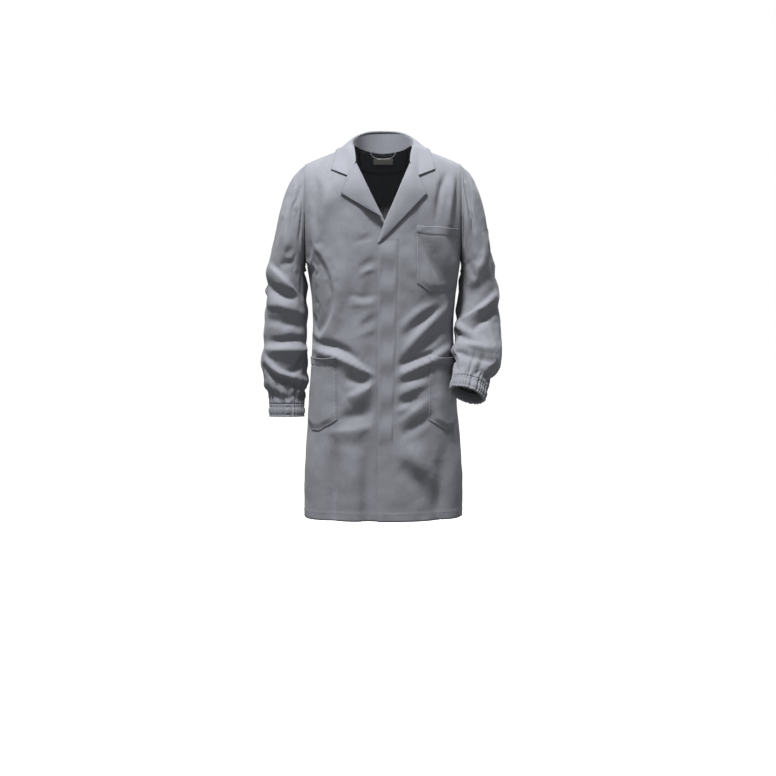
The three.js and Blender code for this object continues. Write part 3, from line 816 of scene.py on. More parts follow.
started = time.time()
turn_grid, v_grid = np.meshgrid(np.linspace(0, 1, AROUND + 1), np.linspace(0, 1, ALONG + 1))
for side, sleeve in SLEEVES.items():
    plain = sleeve.place(turn_grid, v_grid)
    middle = sleeve.rings(v_grid)[0] * np.array([sleeve.sign, 1, 1])
    out = unit(plain - middle)
    folded = plain + out * sleeve_relief(sleeve, plain, turn_grid, v_grid)[..., None]
    folded[:, -1] = folded[:, 0]
    sleeve.draped = folded
    tube = to_mesh(grid_bmesh(AROUND, ALONG, [from_array(folded)], join=0.05), "tube")
    start = corners(tube) / MM
    index = nearest_corner(folded.reshape(-1, 3))(start)
    back = nearest_corner(start)
    v = v_grid.ravel()[index]
    centre = middle.reshape(-1, 3)[index]
    cut = centre + (start - centre) * (1 + 0.01 * ramp(v, 0.1, 0.4))[:, None]
    cut[:, 2] -= 0.03 * np.maximum(v - 0.15, 0) * 700
    held = np.where((v < 0.02) | (v > 0.985), 1.0, 0.0)
    form = grid_bmesh(24, 40, [lambda a, b, k=sleeve: sleeve_form(k, a, b)], join=0.2)
    rested = drape(tube, to_mesh(form, "form"), cut, held, SLEEVE_FRAMES, 2.0, 4, 0.3)
    sleeve.draped = rested[back(folded)].reshape(folded.shape)
    moved = np.linalg.norm(rested - start, axis=1).max()
    took = time.time() - started
    print(f"{side} sleeve: {len(start)} corners draped, {took:.0f} s, moved up to {moved:.0f} mm")


def pleat(turn):
    """The gathers at a wrist, from 0 in a hollow to 1 on a ridge."""
    wander = 0.45 * np.sin(2 * np.pi * 3 * turn + 1) + 0.3 * np.sin(2 * np.pi * 7 * turn)
    size = 0.72 + 0.28 * np.sin(2 * np.pi * 5 * turn + 2)
    return size * (0.5 + 0.5 * np.sin(2 * np.pi * (PLEATS * turn + wander))) ** 0.8


def on_sleeve(sleeve, turn, v, lift=0.0):
    """Points on a draped sleeve, with the gathers above its cuff."""
    turn, v = np.broadcast_arrays(np.asarray(turn, float), np.asarray(v, float))
    points = sample(sleeve.draped, turn % 1.0, v, True)
    middle = sample_middle(sleeve, v)
    out = unit(points - middle)
    long_pleats = (pleat(turn * 0.5) - 0.3) * ramp(v, 0.84, 0.96) * 6
    gathers = pleat(turn) * ramp(v, 0.93, 1.0) ** 1.5 * GATHER
    return points + out * (long_pleats * (1 - ramp(v, 0.97, 1)) + gathers + lift)[..., None], out


def sample_middle(sleeve, v):
    return sleeve.rings(v)[0] * np.array([sleeve.sign, 1, 1])


# %% [markdown]
# ## The finishes
# The coat is a polyester and cotton twill, piece dyed grey: dull, with a faint diagonal rib and a
# soft bloom where light grazes it. Its real ribs are 0.5 mm apart, too fine to show from where a
# whole coat is seen, so they are drawn 1.4 mm apart. The facings are the same cloth in their shade.
# The elastic is braided, the label a satin tape, the buttons are turned polyester resin and the
# thread is spun polyester.


# %% Helpers for materials
def rgb(hex_code):
    """An sRGB hex colour as the linear colour a shader takes."""
    parts = [int(hex_code[i : i + 2], 16) / 255 for i in (1, 3, 5)]
    linear = [c / 12.92 if c <= 0.04045 else ((c + 0.055) / 1.055) ** 2.4 for c in parts]
    return (*linear, 1.0)


def add_node(tree, kind, inputs=None, links=None, **settings):
    """A node with its settings, its socket values, and the links into it."""
    made = tree.nodes.new(kind)
    for key, value in settings.items():
        setattr(made, key, value)
    for key, value in (inputs or {}).items():
        made.inputs[key].default_value = value
    for key, source in (links or {}).items():
        tree.links.new(source, made.inputs[key])
    return made


def new_material(name, **shader):
    """A material with its Principled shader's own values set, and the tree to build on."""
    material = bpy.data.materials.new(name)
    material.use_nodes = True
    tree = material.node_tree
    principled = tree.nodes["Principled BSDF"]
    for key, value in shader.items():
        principled.inputs[key.replace("_", " ")].default_value = value
    return material, tree, principled


TWO_GREYS = ("#6d6f75", "#83858c")


# %% The twill
def twill(name, shades, on_map=True, rib=1.4):
    """Dyed twill: diagonal ribs, threads of slightly uneven shade, and small creases."""
    material, tree, shader = new_material(
        name,
        Roughness=0.86,
        Specular_IOR_Level=0.22,
        Sheen_Weight=0.08,
        Sheen_Roughness=0.45,
    )
    if on_map:
        place = add_node(tree, "ShaderNodeUVMap", uv_map="cut").outputs["UV"]
    else:
        place = add_node(tree, "ShaderNodeTexCoord").outputs["Object"]
    turned = add_node(
        tree,
        "ShaderNodeMapping",
        inputs={"Rotation": (0, 0, math.radians(63))},
        links={"Vector": place},
    ).outputs["Vector"]
    # a Wave texture's bands are 2 pi / (20 scale) apart, in metres here
    band = math.pi / 10 / (rib * MM)
    ribs = add_node(
        tree,
        "ShaderNodeTexWave",
        inputs={"Scale": band, "Distortion": 1.2, "Detail": 2.0, "Detail Scale": 1.5},
        links={"Vector": turned},
    ).outputs["Fac"]
    warp = add_node(
        tree,
        "ShaderNodeMapping",
        inputs={"Scale": (900, 60, 60)},
        links={"Vector": place},
    ).outputs["Vector"]

    def noise_node(scale, detail, source):
        inputs = {"Scale": scale, "Detail": detail}
        return add_node(tree, "ShaderNodeTexNoise", inputs=inputs, links={"Vector": source})

    slubs = noise_node(1.0, 2.0, warp)
    blotches = noise_node(14, 3.0, place)
    uneven = add_node(
        tree,
        "ShaderNodeMix",
        inputs={"Factor": 0.55},
        links={"A": slubs.outputs["Fac"], "B": blotches.outputs["Fac"]},
    ).outputs["Result"]
    with_ribs = add_node(
        tree,
        "ShaderNodeMix",
        inputs={"Factor": 0.3},
        links={"A": uneven, "B": ribs},
    ).outputs["Result"]
    ramp_node = add_node(tree, "ShaderNodeValToRGB", links={"Fac": with_ribs})
    ramp_node.color_ramp.elements[0].position = 0.3
    ramp_node.color_ramp.elements[0].color = rgb(shades[0])
    ramp_node.color_ramp.elements[1].position = 0.7
    ramp_node.color_ramp.elements[1].color = rgb(shades[1])
    creases = noise_node(75, 3.0, place)
    crease_bump = add_node(
        tree,
        "ShaderNodeBump",
        inputs={"Strength": 0.35, "Distance": 1.1 * MM},
        links={"Height": creases.outputs["Fac"]},
    ).outputs["Normal"]
    rib_bump = add_node(
        tree,
        "ShaderNodeBump",
        inputs={"Strength": 0.5, "Distance": 0.16 * MM},
        links={"Height": ribs, "Normal": crease_bump},
    ).outputs["Normal"]
    rough = add_node(
        tree,
        "ShaderNodeMapRange",
        inputs={"To Min": 0.8, "To Max": 0.92},
        links={"Value": slubs.outputs["Fac"]},
    ).outputs["Result"]
    tree.links.new(ramp_node.outputs["Color"], shader.inputs["Base Color"])
    tree.links.new(rib_bump, shader.inputs["Normal"])
    tree.links.new(rough, shader.inputs["Roughness"])
    return material


# %% The other finishes
def bands(spacing, distortion, direction):
    """A Wave texture whose bands are spacing mm apart."""
    inputs = {"Scale": math.pi / 10 / (spacing * MM), "Distortion": distortion}
    return "ShaderNodeTexWave", inputs, {"bands_direction": direction}


def patterned(name, shades, texture, bump, coordinates="Object", **shader_values):
    """A finish whose colour and height both follow one texture: (kind, its inputs, its settings)."""
    material, tree, shader = new_material(name, **shader_values)
    if coordinates == "Object":
        place = add_node(tree, "ShaderNodeTexCoord").outputs["Object"]
    else:
        place = add_node(tree, "ShaderNodeUVMap", uv_map=coordinates).outputs["UV"]
    kind, inputs, settings = texture
    pattern = add_node(tree, kind, inputs=inputs, links={"Vector": place}, **settings)
    value = pattern.outputs["Fac"]
    colours = add_node(tree, "ShaderNodeValToRGB", links={"Fac": value})
    colours.color_ramp.elements[0].color = rgb(shades[0])
    colours.color_ramp.elements[1].color = rgb(shades[1])
    strength, distance = bump
    height = add_node(
        tree,
        "ShaderNodeBump",
        inputs={"Strength": strength, "Distance": distance * MM},
        links={"Height": value},
    )
    tree.links.new(colours.outputs["Color"], shader.inputs["Base Color"])
    tree.links.new(height.outputs["Normal"], shader.inputs["Normal"])
    return material


MATERIALS = {
    "coat_cloth": twill("grey polycotton twill", TWO_GREYS),
    "facing_cloth": twill("grey polycotton twill, facings", ("#6f7178", "#7e8088")),
    # braided elastic: ribs 1.6 mm apart around the band, dull and slightly creamy
    "elastic": patterned(
        "braided elastic",
        ("#c9c6bd", "#efece4"),
        bands(1.6, 0.6, "Z"),
        (0.8, 0.3),
        Roughness=0.75,
        Specular_IOR_Level=0.35,
    ),
    # satin tape: floats 0.8 mm apart that catch the light along the tape
    "label_tape": patterned(
        "woven satin tape",
        ("#dcdad2", "#f3f1ea"),
        bands(0.8, 0.4, "X"),
        (0.5, 0.08),
        Roughness=0.42,
        Specular_IOR_Level=0.5,
        Anisotropic=0.5,
    ),
    # cast polyester resin with a pearly swirl, turned and polished
    "button_resin": patterned(
        "polished polyester resin",
        ("#4a4c54", "#6c6e77"),
        ("ShaderNodeTexNoise", {"Scale": 220, "Detail": 4.0, "Distortion": 1.4}, {}),
        (0.05, 0.1),
        Roughness=0.22,
        IOR=1.55,
        Coat_Weight=0.35,
    ),
    # spun polyester thread: two strands twisted, 0.9 mm a turn
    "sewing_thread": patterned(
        "spun polyester thread",
        ("#383a42", "#5d5f68"),
        bands(0.9, 0.8, "DIAGONAL"),
        (0.6, 0.15),
        Roughness=0.6,
        Sheen_Weight=0.2,
    ),
    "loop_cloth": twill("grey twill, hanger loop", ("#6f7178", "#7e8088"), on_map=False),
}
print("finishes:", ", ".join(material.name for material in MATERIALS.values()))

CARRIED_OVER = {"neck_label": "label_tape", "hanger_loop": "loop_cloth"}
for i in range(1, 7):
    CARRIED_OVER[f"button_{i}"] = "button_resin"
    CARRIED_OVER[f"button_thread_{i}"] = "sewing_thread"
for side in ("left", "right"):
    CARRIED_OVER[f"{side}_cuff_elastic"] = "elastic"
for name, finish in CARRIED_OVER.items():
    for slot in bpy.data.objects[name].material_slots:
        slot.material = MATERIALS[finish]

# %% [markdown]
# ## Making a cloth piece
# Every piece of the coat is a grid laid on the draped shapes and given its thickness by a Solidify
# modifier. Each keeps a map in metres of the cut cloth, so the weave has one size on every piece
# and runs with the grain. The four panels come first. The left front's edge lies over the right
# front, whose edge sinks behind it, and the backs overlap in the same way at the vent.

# %% Cloth pieces
# the cloth's thickness, and that of two plies with an interlining, in mm
CLOTH = 0.8
FOLDED_CLOTH = 1.7
# a cut piece fills at least this much of the rectangle around it
LEAST_SHARE = 0.301


def map_of(points):
    """The cut cloth's own u and v in metres, measured along the rows and columns of a grid."""
    across = np.linalg.norm(np.diff(points, axis=1), axis=-1)
    up = np.linalg.norm(np.diff(points, axis=0), axis=-1)
    u = np.concatenate([np.zeros((len(points), 1)), np.cumsum(across, axis=1)], axis=1)
    u -= u[:, -1:] / 2
    v = np.concatenate([np.zeros((1, points.shape[1])), np.cumsum(up, axis=0)], axis=0)
    return np.stack([u, np.broadcast_to(v.mean(axis=1, keepdims=True), u.shape)], axis=-1) * MM


def cloth_piece(name, points, slot, body="coat_body", thickness=CLOTH, replaces=(), around=False, flip=False):
    """A sheet of cloth through a grid of points, in mm, whose outer side is the grid's own."""
    rows, columns = points.shape[:2]
    bm = bmesh.new()
    made = bmesh.ops.create_grid(bm, x_segments=columns - 1, y_segments=rows - 1, size=0.5)["verts"]
    flat = np.array([v.co for v in made]) + 0.5
    i = np.rint(flat[:, 0] * (columns - 1)).astype(int)
    j = np.rint(flat[:, 1] * (rows - 1)).astype(int)
    cut = map_of(points)
    layer = bm.loops.layers.uv.new("cut")
    for v, a, b in zip(made, i, j):
        v.co = points[b, a] * MM
        for loop in v.link_loops:
            loop[layer].uv = cut[b, a]
    if around:
        bmesh.ops.remove_doubles(bm, verts=bm.verts, dist=0.05 * MM)
    if flip:
        bmesh.ops.reverse_faces(bm, faces=bm.faces)
    mesh = to_mesh(bm, name)
    piece = link(name, mesh)
    wall = piece.modifiers.new("thickness", "SOLIDIFY")
    wall.thickness = thickness * MM
    wall.offset = -1
    mesh.materials.append(MATERIALS[slot])
    if body:
        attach(piece, body)
    if replaces:
        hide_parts(*replaces)
    area = sum(face.area for face in mesh.polygons)
    flat_size = (round(float(np.ptp(cut[..., 0])), 3), round(float(np.ptp(cut[..., 1])), 3))
    print(f"{name}: {len(mesh.vertices)} corners, {flat_size[0]} x {flat_size[1]} m, {area:.4f} m2")
    return piece, flat_size, area


def declare(made):
    """Works out a piece's area, kept between LEAST_SHARE of the rectangle it was cut to and the whole
    rectangle, and keeps nothing.
    """
    piece, flat, area = made
    area = min(max(area, LEAST_SHARE * flat[0] * flat[1]), flat[0] * flat[1])


# %% The four panels
PANEL_COLUMNS, PANEL_ROWS = 104, 236
HEM_BAND = 22
# the fronts' inner edges, from the break up: height, and how far across in the front's own half
NECK_POINT = (SHOULDER_AT_NECK, NECK_HALF_WIDTH)
LEFT_ROLL = [(BREAK, FRONT_EDGE), (V_BOTTOM[1], V_BOTTOM[0]), (-36, 73), NECK_POINT]
RIGHT_ROLL = [(BREAK, -30), (V_BOTTOM[1], -V_BOTTOM[0]), (-30, 73), NECK_POINT]
VENT_TOP = -600
VENT_OVERLAP = 20


def polyline(corner_list, z):
    heights, places = zip(*corner_list)
    return np.interp(z, heights, places)


def tuck(x, z):
    """How far the right front sinks behind the left one, at places across the coat."""
    return -9 * ramp(x, -70, -18) * ramp(-z, 60, 190)


def vent_edge(z):
    return -VENT_OVERLAP * ramp(VENT_TOP - z, 0, 12)


def hem_rise(z):
    """The hem's turning, a little thicker than the cloth above it."""
    return 0.7 * (1 - ramp(z, HEM + HEM_BAND - 2, HEM + HEM_BAND + 2))


def seam_rise(distance):
    """A seam with its turnings to one side: a low ridge beside a narrow groove."""
    return 0.7 * np.exp(-(((distance - 5) / 3.5) ** 2)) - 0.9 * np.exp(-((distance / 1.6) ** 2))


class Cut(Panel):
    """A panel with its own inner edge, which may reach past the middle of the coat."""

    def __init__(self, name, side, mirrored, edge):
        super().__init__(name, side, mirrored)
        self.edge = edge

    def inner(self, z):
        return self.edge(np.asarray(z, float))


CUTS = {
    "left_front": Cut("left_front", -1, False, lambda z: polyline(LEFT_ROLL, z)),
    "right_front": Cut("right_front", -1, True, lambda z: polyline(RIGHT_ROLL, z)),
    "left_back": Cut("left_back", 1, False, vent_edge),
    "right_back": Cut("right_back", 1, True, vent_edge),
}


def panel_points(cut):
    s, t = np.meshgrid(np.linspace(0, 1, PANEL_COLUMNS + 1), np.linspace(0, 1, PANEL_ROWS + 1))
    hanging = cut.place(s, t)
    x, z = hanging[..., 0], hanging[..., 2]
    from_edge = np.abs(x - (-1 if cut.mirrored else 1) * cut.inner(z))
    lift = hem_rise(z)
    near_side = ramp(s, 0.9, 0.97)
    lift = lift + seam_rise((side_edge(z) - np.abs(x)) * 2.2) * near_side * (z < UNDERARM) * 0.8
    lift = lift + seam_rise(np.maximum(ARMHOLE - np.abs(x), 0)) * (z > UNDERARM) * (z < -60) * 0.6
    if cut.name == "left_front":
        stitched = fly_stitch(z)
        below_break = 1 - ramp(z, -240, -230)
        on_fly = (1 - ramp(x, stitched - 1, stitched + 1)) * below_break
        on_fly = on_fly * ramp(z, FLY_BOTTOM - 2, FLY_BOTTOM + 2)
        lift = lift + 0.7 * on_fly + 1.2 * (1 - ramp(from_edge, 0, 14)) * below_break
        lift = lift - 0.8 * np.exp(-(((x - stitched) / 2.2) ** 2)) * below_break * (z > FLY_BOTTOM)
        buckle = np.cos(2 * np.pi * (z - FIRST_BUTTON) / BUTTON_PITCH)
        lift = lift + 2.0 * buckle * ramp(x, -12, 0) * (1 - ramp(x, 24, stitched)) * on_fly
    elif cut.name == "right_front":
        lift = lift + tuck(x, z)
    else:
        beside = np.abs(x) if cut.name == "left_back" else np.maximum(-x, 0)
        lift = lift + seam_rise(beside) * (z > VENT_TOP) * 0.8 * (1 - ramp(z, -40, -15))
        if cut.name == "right_back":
            lift = lift - 4 * ramp(x, -60, -20) * ramp(VENT_TOP + 80 - z, 0, 70)
        else:
            lift = lift + 0.8 * (1 - ramp(from_edge, 0, 12)) * ramp(VENT_TOP - z, 0, 20)
    panel = PANELS[cut.name]
    if cut.name == "left_front":
        points, normals = sample(panel.draped, s, t), unit(sample(panel.normals, s, t))
        return points + normals * lift[..., None]
    return on_cloth(cut.side, x, z, lift)[0]


FIRST_BUTTON = (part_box("button_1")[0][2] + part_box("button_1")[1][2]) / 2 / MM
LAST_BUTTON = (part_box("button_6")[0][2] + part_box("button_6")[1][2]) / 2 / MM
BUTTON_PITCH = (FIRST_BUTTON - LAST_BUTTON) / 5
FLY_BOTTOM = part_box("buttonhole_strip")[0][2] / MM


def fly_stitch(z):
    """The fly's stitched line, which slants a little."""
    return np.interp(z, [FLY_BOTTOM, -240], [24, 39])


for cut in CUTS.values():
    made = cloth_piece(
        cut.name + "_cloth",
        panel_points(cut),
        "coat_cloth",
        replaces=[cut.name],
        flip=(cut.side < 0) == cut.mirrored,
    )
    declare(made)

# %% [markdown]
# ## Facings and the inside of the neck
# Inside each front lies a facing, which turns over at the roll line and shows as the lapel. The
# back neck facing covers the raw seam of the collar, and the buttonhole strip hangs behind the fly.

# %% Facings, neck facing and buttonhole strip
FACING_DEPTH = 3.2
FACING_WIDTH = 62
FACING_TOP = -50
STRIP_DEPTH = 6.6


def facing_points(mirrored):
    sign = -1 if mirrored else 1
    s, t = np.meshgrid(np.linspace(0, 1, 24), np.linspace(0, 1, 160))
    z = HEM + 5 + t * (FACING_TOP - HEM - 5)
    roll = RIGHT_ROLL if mirrored else LEFT_ROLL
    edge = polyline(roll, z) + 3
    if not mirrored:
        edge = np.maximum(edge + 1, FRONT_EDGE + 54)
    x = sign * (edge + s * FACING_WIDTH)
    lift = -FACING_DEPTH + (tuck(x, z) if mirrored else 0)
    return on_cloth(-1, x, z, lift)[0]


for mirrored, side in ((False, "left"), (True, "right")):
    made = cloth_piece(
        f"{side}_facing_cloth",
        facing_points(mirrored),
        "facing_cloth",
        replaces=[f"{side}_facing"],
        flip=mirrored,
    )
    declare(made)

s, t = np.meshgrid(np.linspace(0, 1, 40), np.linspace(0, 1, 16))
x = -62 + 124 * s
reach = np.sqrt(1 - (x / NECK_HALF_WIDTH) ** 2) * NECK_DEPTH
top = over_shoulder(x, reach) - 2
made = cloth_piece(
    "back_neck_facing_cloth",
    on_cloth(1, x, top - 50 + 50 * t, -FACING_DEPTH)[0],
    "facing_cloth",
    replaces=["back_neck_facing"],
    flip=True,
)
declare(made)

s, t = np.meshgrid(np.linspace(0, 1, 14), np.linspace(0, 1, 140))
made = cloth_piece(
    "buttonhole_strip_cloth",
    on_cloth(-1, FRONT_EDGE + 3 + s * 46, FLY_BOTTOM + t * (BREAK + 9 - FLY_BOTTOM), -STRIP_DEPTH)[0],
    "coat_cloth",
    replaces=["buttonhole_strip"],
)
declare(made)

# %% [markdown]
# ## The patch pockets
# A patch pocket is one piece of cloth with its lower corners cut off, stitched down on three sides,
# with a wide hem at the mouth. It hangs a little proud of the coat because it is used, and the
# mouth gapes most in its middle.

# %% Pockets
CHEST = dict(inner=87, outer=194, widest=0.955, top=-203, drop=10, bottom=-374, chamfer=24, bulge=3.5)
HIP = dict(inner=118, outer=197, widest=0.985, top=-541, drop=2, bottom=-734, chamfer=32, bulge=5)
POCKETS = {
    "chest_pocket": dict(CHEST, mirrored=False),
    "left_hip_pocket": dict(HIP, mirrored=False),
    "right_hip_pocket": dict(HIP, mirrored=True),
}
MOUTH_HEM = 22


def pocket_place(size, s, t):
    """Where a pocket's spot lies on the coat: s from its inner edge, t from its lower edge up."""
    width = size["outer"] - size["inner"]
    corner = np.maximum(np.maximum(0, 1 - s * width / size["chamfer"]), 1 - (1 - s) * width / size["chamfer"])
    low = size["bottom"] + corner * size["chamfer"]
    z = low + t * (size["top"] - size["drop"] * s - low)
    outer = np.minimum(size["outer"], size["widest"] * level(z, 1))
    x = size["inner"] + (outer - size["inner"]) * np.sin(s * np.pi / 2)
    return (-x if size["mirrored"] else x), z


def pocket_lift(size, s, t):
    width, height = size["outer"] - size["inner"], size["top"] - size["bottom"]
    inside = ramp(s * width, 1, 22) * ramp((1 - s) * width, 1, 22) * ramp(t * height, 1, 22)
    down = (1 - t) * height
    groove = np.exp(-(((down - MOUTH_HEM) / 2) ** 2))
    hem = 0.6 * (1 - ramp(down, MOUTH_HEM - 1.5, MOUTH_HEM + 1.5)) - 0.6 * groove
    gape = 2.5 * np.sin(np.pi * s) ** 2 * np.exp(-down / 30)
    return 1.5 + inside * size["bulge"] + gape + hem


for name, size in POCKETS.items():
    s, t = np.meshgrid(np.linspace(0, 1, 61), np.linspace(0, 1, 81))
    x, z = pocket_place(size, s, t)
    points = on_cloth(-1, x, z, pocket_lift(size, s, t))[0]
    made = cloth_piece(name + "_cloth", points, "coat_cloth", replaces=[name], flip=size["mirrored"])
    side = "right" if size["mirrored"] else "left"
    declare(made)

# %% [markdown]
# ## Collar and lapels
# The collar stands up from the neck seam, rolls over at its fold line and lies down on the shoulders.
# Each lapel is the top of the front, rolled outwards. Both are two plies and an interlining, so they
# are thicker than the coat and turn over in a round roll instead of a sharp crease. A collar could be
# simulated too, but its interlining makes it nearly stiff, so its roll is drawn as an arc.

# %% The collar
COLLAR_LIFT = 4.5
ROLL_RADIUS = 3.0
FOLD_LINE = [
    (-71, -74, -42),
    (-80, -36, -4),
    (-80, 8, 24),
    (-48, 50, 43),
    (0, 66, 47),
    (48, 50, 43),
    (80, 8, 24),
    (80, -36, -4),
    (71, -74, -42),
]
LEAF_TIP = (134, -60)
LEAF_TIP_Y = float(on_body(-1, *LEAF_TIP)[1])
LEAF_PLAN = [(124, -40), (116, 6), (96, 52), (56, 80)]
EDGE_PLAN = [(-LEAF_TIP[0], LEAF_TIP_Y), *[(-x, y) for x, y in LEAF_PLAN], (0, 90)]
EDGE_PLAN += [*LEAF_PLAN[::-1], (LEAF_TIP[0], LEAF_TIP_Y)]
GORGE_TOP = (71, -43)
NOTCH_INNER = (91, -77)


def bent_line(start, corner, end, share, t):
    """A line from start to end with a corner at a share of its run."""
    start, corner, end = (np.asarray(point, float) for point in (start, corner, end))
    first = start + (corner - start) * np.clip(t / share, 0, 1)[..., None]
    second = corner + (end - corner) * np.clip((t - share) / (1 - share), 0, 1)[..., None]
    return np.where((t < share)[..., None], first, second)


def above_coat(x, y, lift):
    """A height that clears the coat both upwards and outwards."""
    inward = np.sign(y) * np.maximum(np.abs(y) - lift, 0)
    return over_shoulder(x, inward) + lift


def fall_at(s, t):
    folded, plan = curve_at(FOLD_LINE, s), curve_at(EDGE_PLAN, s)
    front = ramp(np.abs(s - 0.5), 0.4, 0.5)
    x = folded[..., 0] + (plan[..., 0] - folded[..., 0]) * t
    y = folded[..., 1] + (plan[..., 1] - folded[..., 1]) * t
    resting = above_coat(x, y, COLLAR_LIFT)
    edge = above_coat(plan[..., 0], plan[..., 1], COLLAR_LIFT)
    hanging = folded[..., 2] + (edge - folded[..., 2]) * t**1.3
    softer = np.logaddexp(resting / 2.5, hanging / 2.5) * 2.5
    swell = 2.0 * np.sin(np.pi * np.minimum(t * 1.3, 1)) * (1 - front)
    wave = 1.2 * np.sin(9 * s + 1) * t * (1 - t) * 2
    leaf = np.stack([x, y, softer + swell * 0.6 + wave], axis=-1)
    # the leaf's front edge runs down the gorge seam to the notch, and from there out to its tip
    gorge = bent_line(GORGE_TOP, NOTCH_INNER, LEAF_TIP, 0.34, t)
    gorge = on_body(-1, gorge[..., 0], gorge[..., 1] + 1) + np.array([0, -COLLAR_LIFT - 1.2, 0.8])
    gorge[..., 0] *= np.where(s > 0.5, 1, -1)
    near_front = ramp(np.abs(s - 0.5), 0.4, 0.5)[..., None]
    return leaf + (gorge - leaf) * near_front


def neck_seam(degrees):
    """A point of the neck seam, from 90 degrees at the side to 180 at the back."""
    angle = math.radians(degrees)
    x, y = NECK_HALF_WIDTH * math.sin(angle), -NECK_DEPTH * math.cos(angle)
    return (x, y, float(over_shoulder(np.array(x), np.array(y))) + 1)


HALF_SEAM = [(71, -74, -45), tuple(on_body(-1, 74.5, -9).tolist()), neck_seam(96), neck_seam(140)]
STAND_SEAM = [(-x, y, z) for x, y, z in HALF_SEAM] + [neck_seam(180)] + HALF_SEAM[::-1]


def stand_at(s, t):
    low = curve_at(STAND_SEAM, s)
    top = curve_at(FOLD_LINE, s) * np.array([0.965, 1, 1]) - np.array([0, 1.5, 4])
    return low + (top - low) * t[..., None]


def rolled(place, s, t, radius, roll_rows):
    """Adds a round roll before t = 0: the cloth turns over and goes back under itself."""
    flat = place(s, t)
    start, ahead = place(s[:1], np.zeros_like(s[:1])), place(s[:1], np.full_like(s[:1], 0.04))
    onward = unit(ahead - start)
    sideways = unit(np.gradient(start, axis=1))
    up = unit(np.cross(sideways, onward))
    up *= np.where(up[..., 2:3] < 0, -1, 1)
    turn = np.linspace(-np.pi / 2, np.pi / 2, roll_rows)[:-1, None, None]
    arc = start + up * radius * (np.sin(turn) - 1) - onward * radius * np.cos(turn)
    under = [start - up * 2 * radius + onward * reach for reach in (9, 5, 2)]
    return np.concatenate([*under, arc, flat], axis=0)


s, t = np.meshgrid(np.linspace(0, 1, 181), np.linspace(0, 1, 34))
fall = rolled(fall_at, s, t, ROLL_RADIUS, 9)
made = cloth_piece(
    "collar_fall_cloth", fall, "coat_cloth", thickness=FOLDED_CLOTH, replaces=["collar_fall"], flip=False
)
declare(made)

s, t = np.meshgrid(np.linspace(0.01, 0.99, 90), np.linspace(-0.1, 1, 16))
made = cloth_piece(
    "collar_stand_cloth", stand_at(s, t), "facing_cloth", thickness=1.0, replaces=["collar_stand"], flip=True
)
declare(made)

# %% The lapels
LAPEL_LIFT = 4.2
LAPELS = {
    "left": dict(roll=[(FRONT_EDGE, BREAK), V_BOTTOM], start=(4, 2), tip=(111, -121), mirrored=False),
    "right": dict(roll=[(-1, -184), (1, -180)], start=(4, 2), tip=(106, -121), mirrored=True),
}
ROLL_END = (72, -46)
NOTCH = (90, -80)


def lapel_at(lapel, s, t):
    roll = lapel["roll"]
    start = (roll[0][0] + lapel["start"][0], roll[0][1] + lapel["start"][1])
    inner = bent_line(roll[0], roll[1], ROLL_END, 0.3, t)
    outer = bent_line(start, lapel["tip"], NOTCH, 0.8, t)
    at = inner + (outer - inner) * s[..., None]
    sign = -1 if lapel["mirrored"] else 1
    swell = 3.0 * np.sin(np.pi * s**0.8) * np.sin(np.pi * np.clip(t, 0, 1)) ** 0.7
    lift = LAPEL_LIFT + swell + 1.6 * s**6 * np.sin(np.pi * np.clip(t, 0, 0.9))
    return on_cloth(-1, sign * (at[..., 0] + 1), at[..., 1], lift)


def lapel_points(lapel):
    s, t = np.meshgrid(np.linspace(0, 1, 34), np.linspace(0, 1, 120))
    points, normals = lapel_at(lapel, s, t)
    radius = LAPEL_LIFT / 2
    start, onward = points[:, :1], unit(points[:, 1:2] - points[:, :1])
    turn = np.linspace(-np.pi / 2, np.pi / 2, 8)[None, :-1, None]
    up = normals[:, :1]
    arc = start + up * radius * (np.sin(turn) - 1) - onward * radius * np.cos(turn)
    return np.concatenate([arc, points], axis=1)


for side, lapel in LAPELS.items():
    points = lapel_points(lapel)
    made = cloth_piece(
        f"{side}_lapel_cloth",
        points,
        "coat_cloth",
        thickness=FOLDED_CLOTH,
        replaces=[f"{side}_lapel"],
        flip=lapel["mirrored"],
    )
    declare(made)

# %% [markdown]
# ## Sleeves and cuffs
# The draped sleeves get a finer grid, with the gathers above the cuff. The cuff's casing is a strip
# folded along its lower edge and sewn on gathered: it stands in small pleats, because it is cut to
# the sleeve's width and the elastic inside pulls it in to the wrist.

# %% Sleeves and cuffs
SLEEVE_AROUND, SLEEVE_ALONG = 180, 150
CUFF_HEIGHT = 34
CASING_INSIDE = 4.4


def on_cuff(sleeve, turn, drop, depth):
    """Points past the sleeve's end: drop down the arm, depth in from its outer side."""
    turn, drop, depth = np.broadcast_arrays(turn, drop, depth)
    middle, wide, forward, _, half_width, half_depth = sleeve.rings(np.ones_like(turn))
    down = unit(np.cross(forward, wide))
    down *= np.where(down[..., 2:3] > 0, -1, 1)
    angle = (2 * np.pi * turn + np.pi)[..., None]
    out = wide * np.cos(angle) * (half_width - depth)[..., None]
    out = out + forward * np.sin(angle) * (half_depth - depth)[..., None]
    return (middle + out + down * drop[..., None]) * np.array([sleeve.sign, 1, 1])


def blend_to_arm(piece):
    """Bakes a piece's placement into its own mesh."""
    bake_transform(piece)


